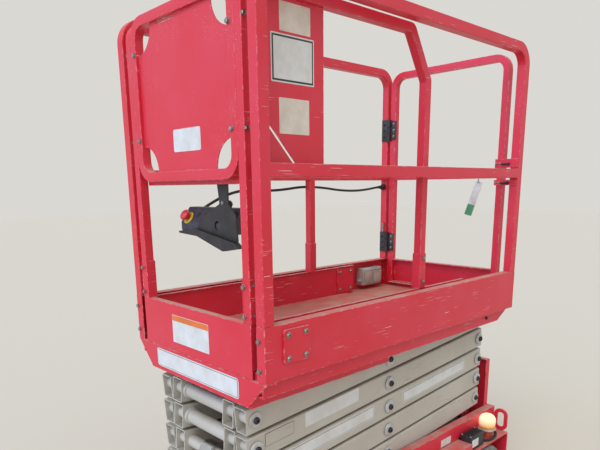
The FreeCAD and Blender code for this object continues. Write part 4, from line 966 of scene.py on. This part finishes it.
def smooth_line(spots, fine=8):
    """Points along a smooth curve that is drawn towards the given spots."""
    curve = bpy.data.curves.new("line", "CURVE")
    curve.dimensions = "3D"
    piece = curve.splines.new("NURBS")
    piece.points.add(len(spots) - 1)
    for point, spot in zip(piece.points, spots):
        point.co = (*spot, 1)
    piece.order_u = 3
    piece.use_endpoint_u = True
    curve.resolution_u = fine
    holder = bpy.data.objects.new("line", curve)
    scene.collection.objects.link(holder)
    flat = bpy.data.meshes.new_from_object(holder)
    path = [vert.co.copy() for vert in flat.vertices]
    bpy.data.objects.remove(holder)
    return path


SHELF = LAMP_AT[2]
lead = bmesh.new()
route = ((-558, 340, SHELF + 24), (-572, 341, SHELF + 24), (-586, 354, SHELF + 8), (-606, 367, SHELF + 7),
         (-640, 373, SHELF + 7), (-676, 368, SHELF + 20), (-686, 340, SHELF + 32), (-670, 314, SHELF + 20),
         (-656, 326, SHELF + 12), (-646, 331, SHELF + 14))
path = smooth_line(route, 6)
tube_along(lead, path, [6.5] * len(path), 12)
settle("lamp_cable", lead, RUBBER, "chassis", 60)

(cx0, cy0, cz0), (cx1, cy1, cz1) = CHARGER
lid = bmesh.new()
slab(lid, (cx0 - 2, cy0 - 1, cz1 - 9), (cx1 + 2, cy1 + 2, cz1 + 1), 2)
for number in range(7):
    x = cx0 + 14 + number * 15
    slab(lid, (x, cy0 + 8, cz1), (x + 5, cy1 - 8, cz1 + 5), 1.2)
settle("charger_lid", lid, PLASTIC, "chassis")
lid_screws = bmesh.new()
for x in (cx0 + 6, cx1 - 6):
    for y in (cy0 + 6, cy1 - 6):
        button_bolt(lid_screws, (x, y, cz1 + 1), "+z", 3.6)
settle("charger_screws", lid_screws, ZINC, "chassis")

# %% [markdown]
# ## The outlet box
# A grey outlet box sits inside the right toe board: two spring lids over its sockets and a cable gland.

# %% Outlet box
(ox0, oy0, oz0), (ox1, oy1, oz1) = OUTLET
outlet = bmesh.new()
middle = (ox0 + ox1) / 2
for x0, x1 in ((ox0 + 8, middle - 4), (middle + 4, ox1 - 8)):
    slab(outlet, (x0, oy1 - 1, oz0 + 10), (x1, oy1 + 6, oz1 - 14), 3, 3)
    slab(outlet, (x0 + 6, oy1 - 1, oz1 - 13), (x1 - 6, oy1 + 7, oz1 - 7), 2, 3)
turned(outlet, ((0, 0), (11, 0), (11, 6), (9, 7), (9, 14), (6, 16), (0, 16)), "+x", (ox1, (oy0 + oy1) / 2, oz0 + 24), 20)
settle("outlet_lids", outlet, GREY_BOX, "platform")

# %% [markdown]
# ## Wheels
# A wheel has five nuts on its hub and a dust cap over the axle's end, and the tyre's side wall is stepped
# by moulded rings. They ride on their wheel and turn with it.

# %% Wheel nuts, caps and side wall rings
for axle in ("front", "rear"):
    for side in (1, -1):
        name = axle + ("_left" if side > 0 else "_right")
        direction = "+y" if side > 0 else "-y"
        low, high = measures("tyre_" + name)
        x, z = (low[0] + high[0]) / 2, (low[2] + high[2]) / 2
        face = side * LEFT
        nuts = bmesh.new()
        for number in range(5):
            angle = math.tau * number / 5 + 0.3
            hex_bolt(nuts, (x + 25 * math.cos(angle), face - side * 8, z + 25 * math.sin(angle)), direction, 10)
        settle("wheel_nuts_" + name, nuts, ZINC, "wheel_" + name)
        cap = bmesh.new()
        turned(cap, ((0, -2), (15.5, -2), (15.5, 3), (14, 5.5), (10, 6.5), (0, 7)), direction, (x, face - side * 8, z), 28)
        settle("axle_cap_" + name, cap, BLACK, "wheel_" + name)
        rings = bmesh.new()
        turned(rings, ((88, -0.4), (88, 0.5), (90, 0.8), (92, 0.5), (92, -0.4)), direction, (x, face - side * 0.8, z), 48)
        turned(rings, ((105, -0.4), (105, 0.4), (107, 0.7), (109, 0.4), (109, -0.4)), direction, (x, face - side * 0.8, z), 48)
        settle("tyre_rings_" + name, rings, TYRE, "wheel_" + name)

# %% [markdown]
# ## Base fittings
# What the photograph doesn't show is kept plain: two turn latches on each side cover, and bolts in the
# channels' ends.

# %% Cover latches and base bolts
(vx0, vy0, vz0), (vx1, vy1, vz1) = measures("side_cover_left")
for side in (1, -1):
    name = "left" if side > 0 else "right"
    direction = "+y" if side > 0 else "-y"
    face = side * COVER_Y
    latches = bmesh.new()
    for x in (vx0 + 60, vx1 - 60):
        turned(latches, ((0, 0), (17, 0), (17, 1.2), (15, 2.6), (0, 2.6)), direction, (x, face, vz1 - 28), 28)
        slab(latches, (x - 11, *sorted((face + side * 2, face + side * 3.8))[:1], vz1 - 31),
             (x + 11, sorted((face + side * 2, face + side * 3.8))[1], vz1 - 25), 1)
    settle("cover_latches_" + name, latches, ZINC, "chassis")
base_bolts = bmesh.new()
(kx0, ky0, kz0), (kx1, ky1, kz1) = measures("roller_channels")
for side in (1, -1):
    for z in (kz0 + 16, kz1 - 16):
        hex_bolt(base_bolts, (kx1, side * (ky1 - 20), z), "+x", 11)
settle("end_stop_bolts", base_bolts, ZINC, "chassis")
band_bolts = bmesh.new()
for side in (1, -1):
    hex_bolt(band_bolts, (-517, side * 360, 898), "+y" if side > 0 else "-y", 12)
settle("band_bolts", band_bolts, BLACK, "platform")

# %% [markdown]
# ## The studio
# A pale flat floor under a pale backdrop that only the camera sees, one big soft sun, an even sky a touch weaker
# than white, and a low cool light from the front, as from an open door: it gives the front faces their pink cast.

# %% Floor and light
ground_mesh = bpy.data.meshes.new("studio_floor")
ground = bmesh.new()
bmesh.ops.create_grid(ground, x_segments=1, y_segments=1, size=30)
ground.to_mesh(ground_mesh)
ground.free()
floor = bpy.data.objects.new("studio_floor", ground_mesh)
scene.collection.objects.link(floor)
pale, tree, shader = new_finish("pale_studio_floor", "CBC5B7", 0.8)
ground_mesh.materials.append(pale)

world = bpy.data.worlds.new("even_sky")
scene.world = world
world.use_nodes = True
tree = world.node_tree
sky = tree.nodes["Background"]
sky.inputs["Color"].default_value = linear("F4F6F8")
sky.inputs["Strength"].default_value = 0.85
backdrop = add(tree, "Background", {"Color": linear("DAD8D3"), "Strength": 1.0})
seen = add(tree, "LightPath").outputs["Is Camera Ray"]
mix = add(tree, "MixShader", {0: seen, 1: sky.outputs[0], 2: backdrop.outputs[0]})
tree.links.new(mix.outputs[0], tree.nodes["World Output"].inputs["Surface"])

sun = bpy.data.objects.new("soft_sun", bpy.data.lights.new("soft_sun", "SUN"))
scene.collection.objects.link(sun)
sun.data.energy = 1.1
sun.data.angle = math.radians(30)
sun.rotation_euler = Vector((-0.7, -0.35, -0.8)).to_track_quat("-Z", "Y").to_euler()
door = bpy.data.objects.new("cool_doorway", bpy.data.lights.new("cool_doorway", "SUN"))
scene.collection.objects.link(door)
door.data.energy = 1.8
door.data.angle = math.radians(60)
door.data.color = linear("A2C2FF")[:3]
door.rotation_euler = Vector((-1, 0.15, -0.25)).to_track_quat("-Z", "Y").to_euler()
roof = bpy.data.objects.new("roof_daylight", bpy.data.lights.new("roof_daylight", "SUN"))
scene.collection.objects.link(roof)
roof.data.energy = 0.2
roof.data.angle = math.radians(70)
roof.rotation_euler = Vector((0.1, -0.4, -1)).to_track_quat("-Z", "Y").to_euler()

scene.view_settings.view_transform = "Standard"
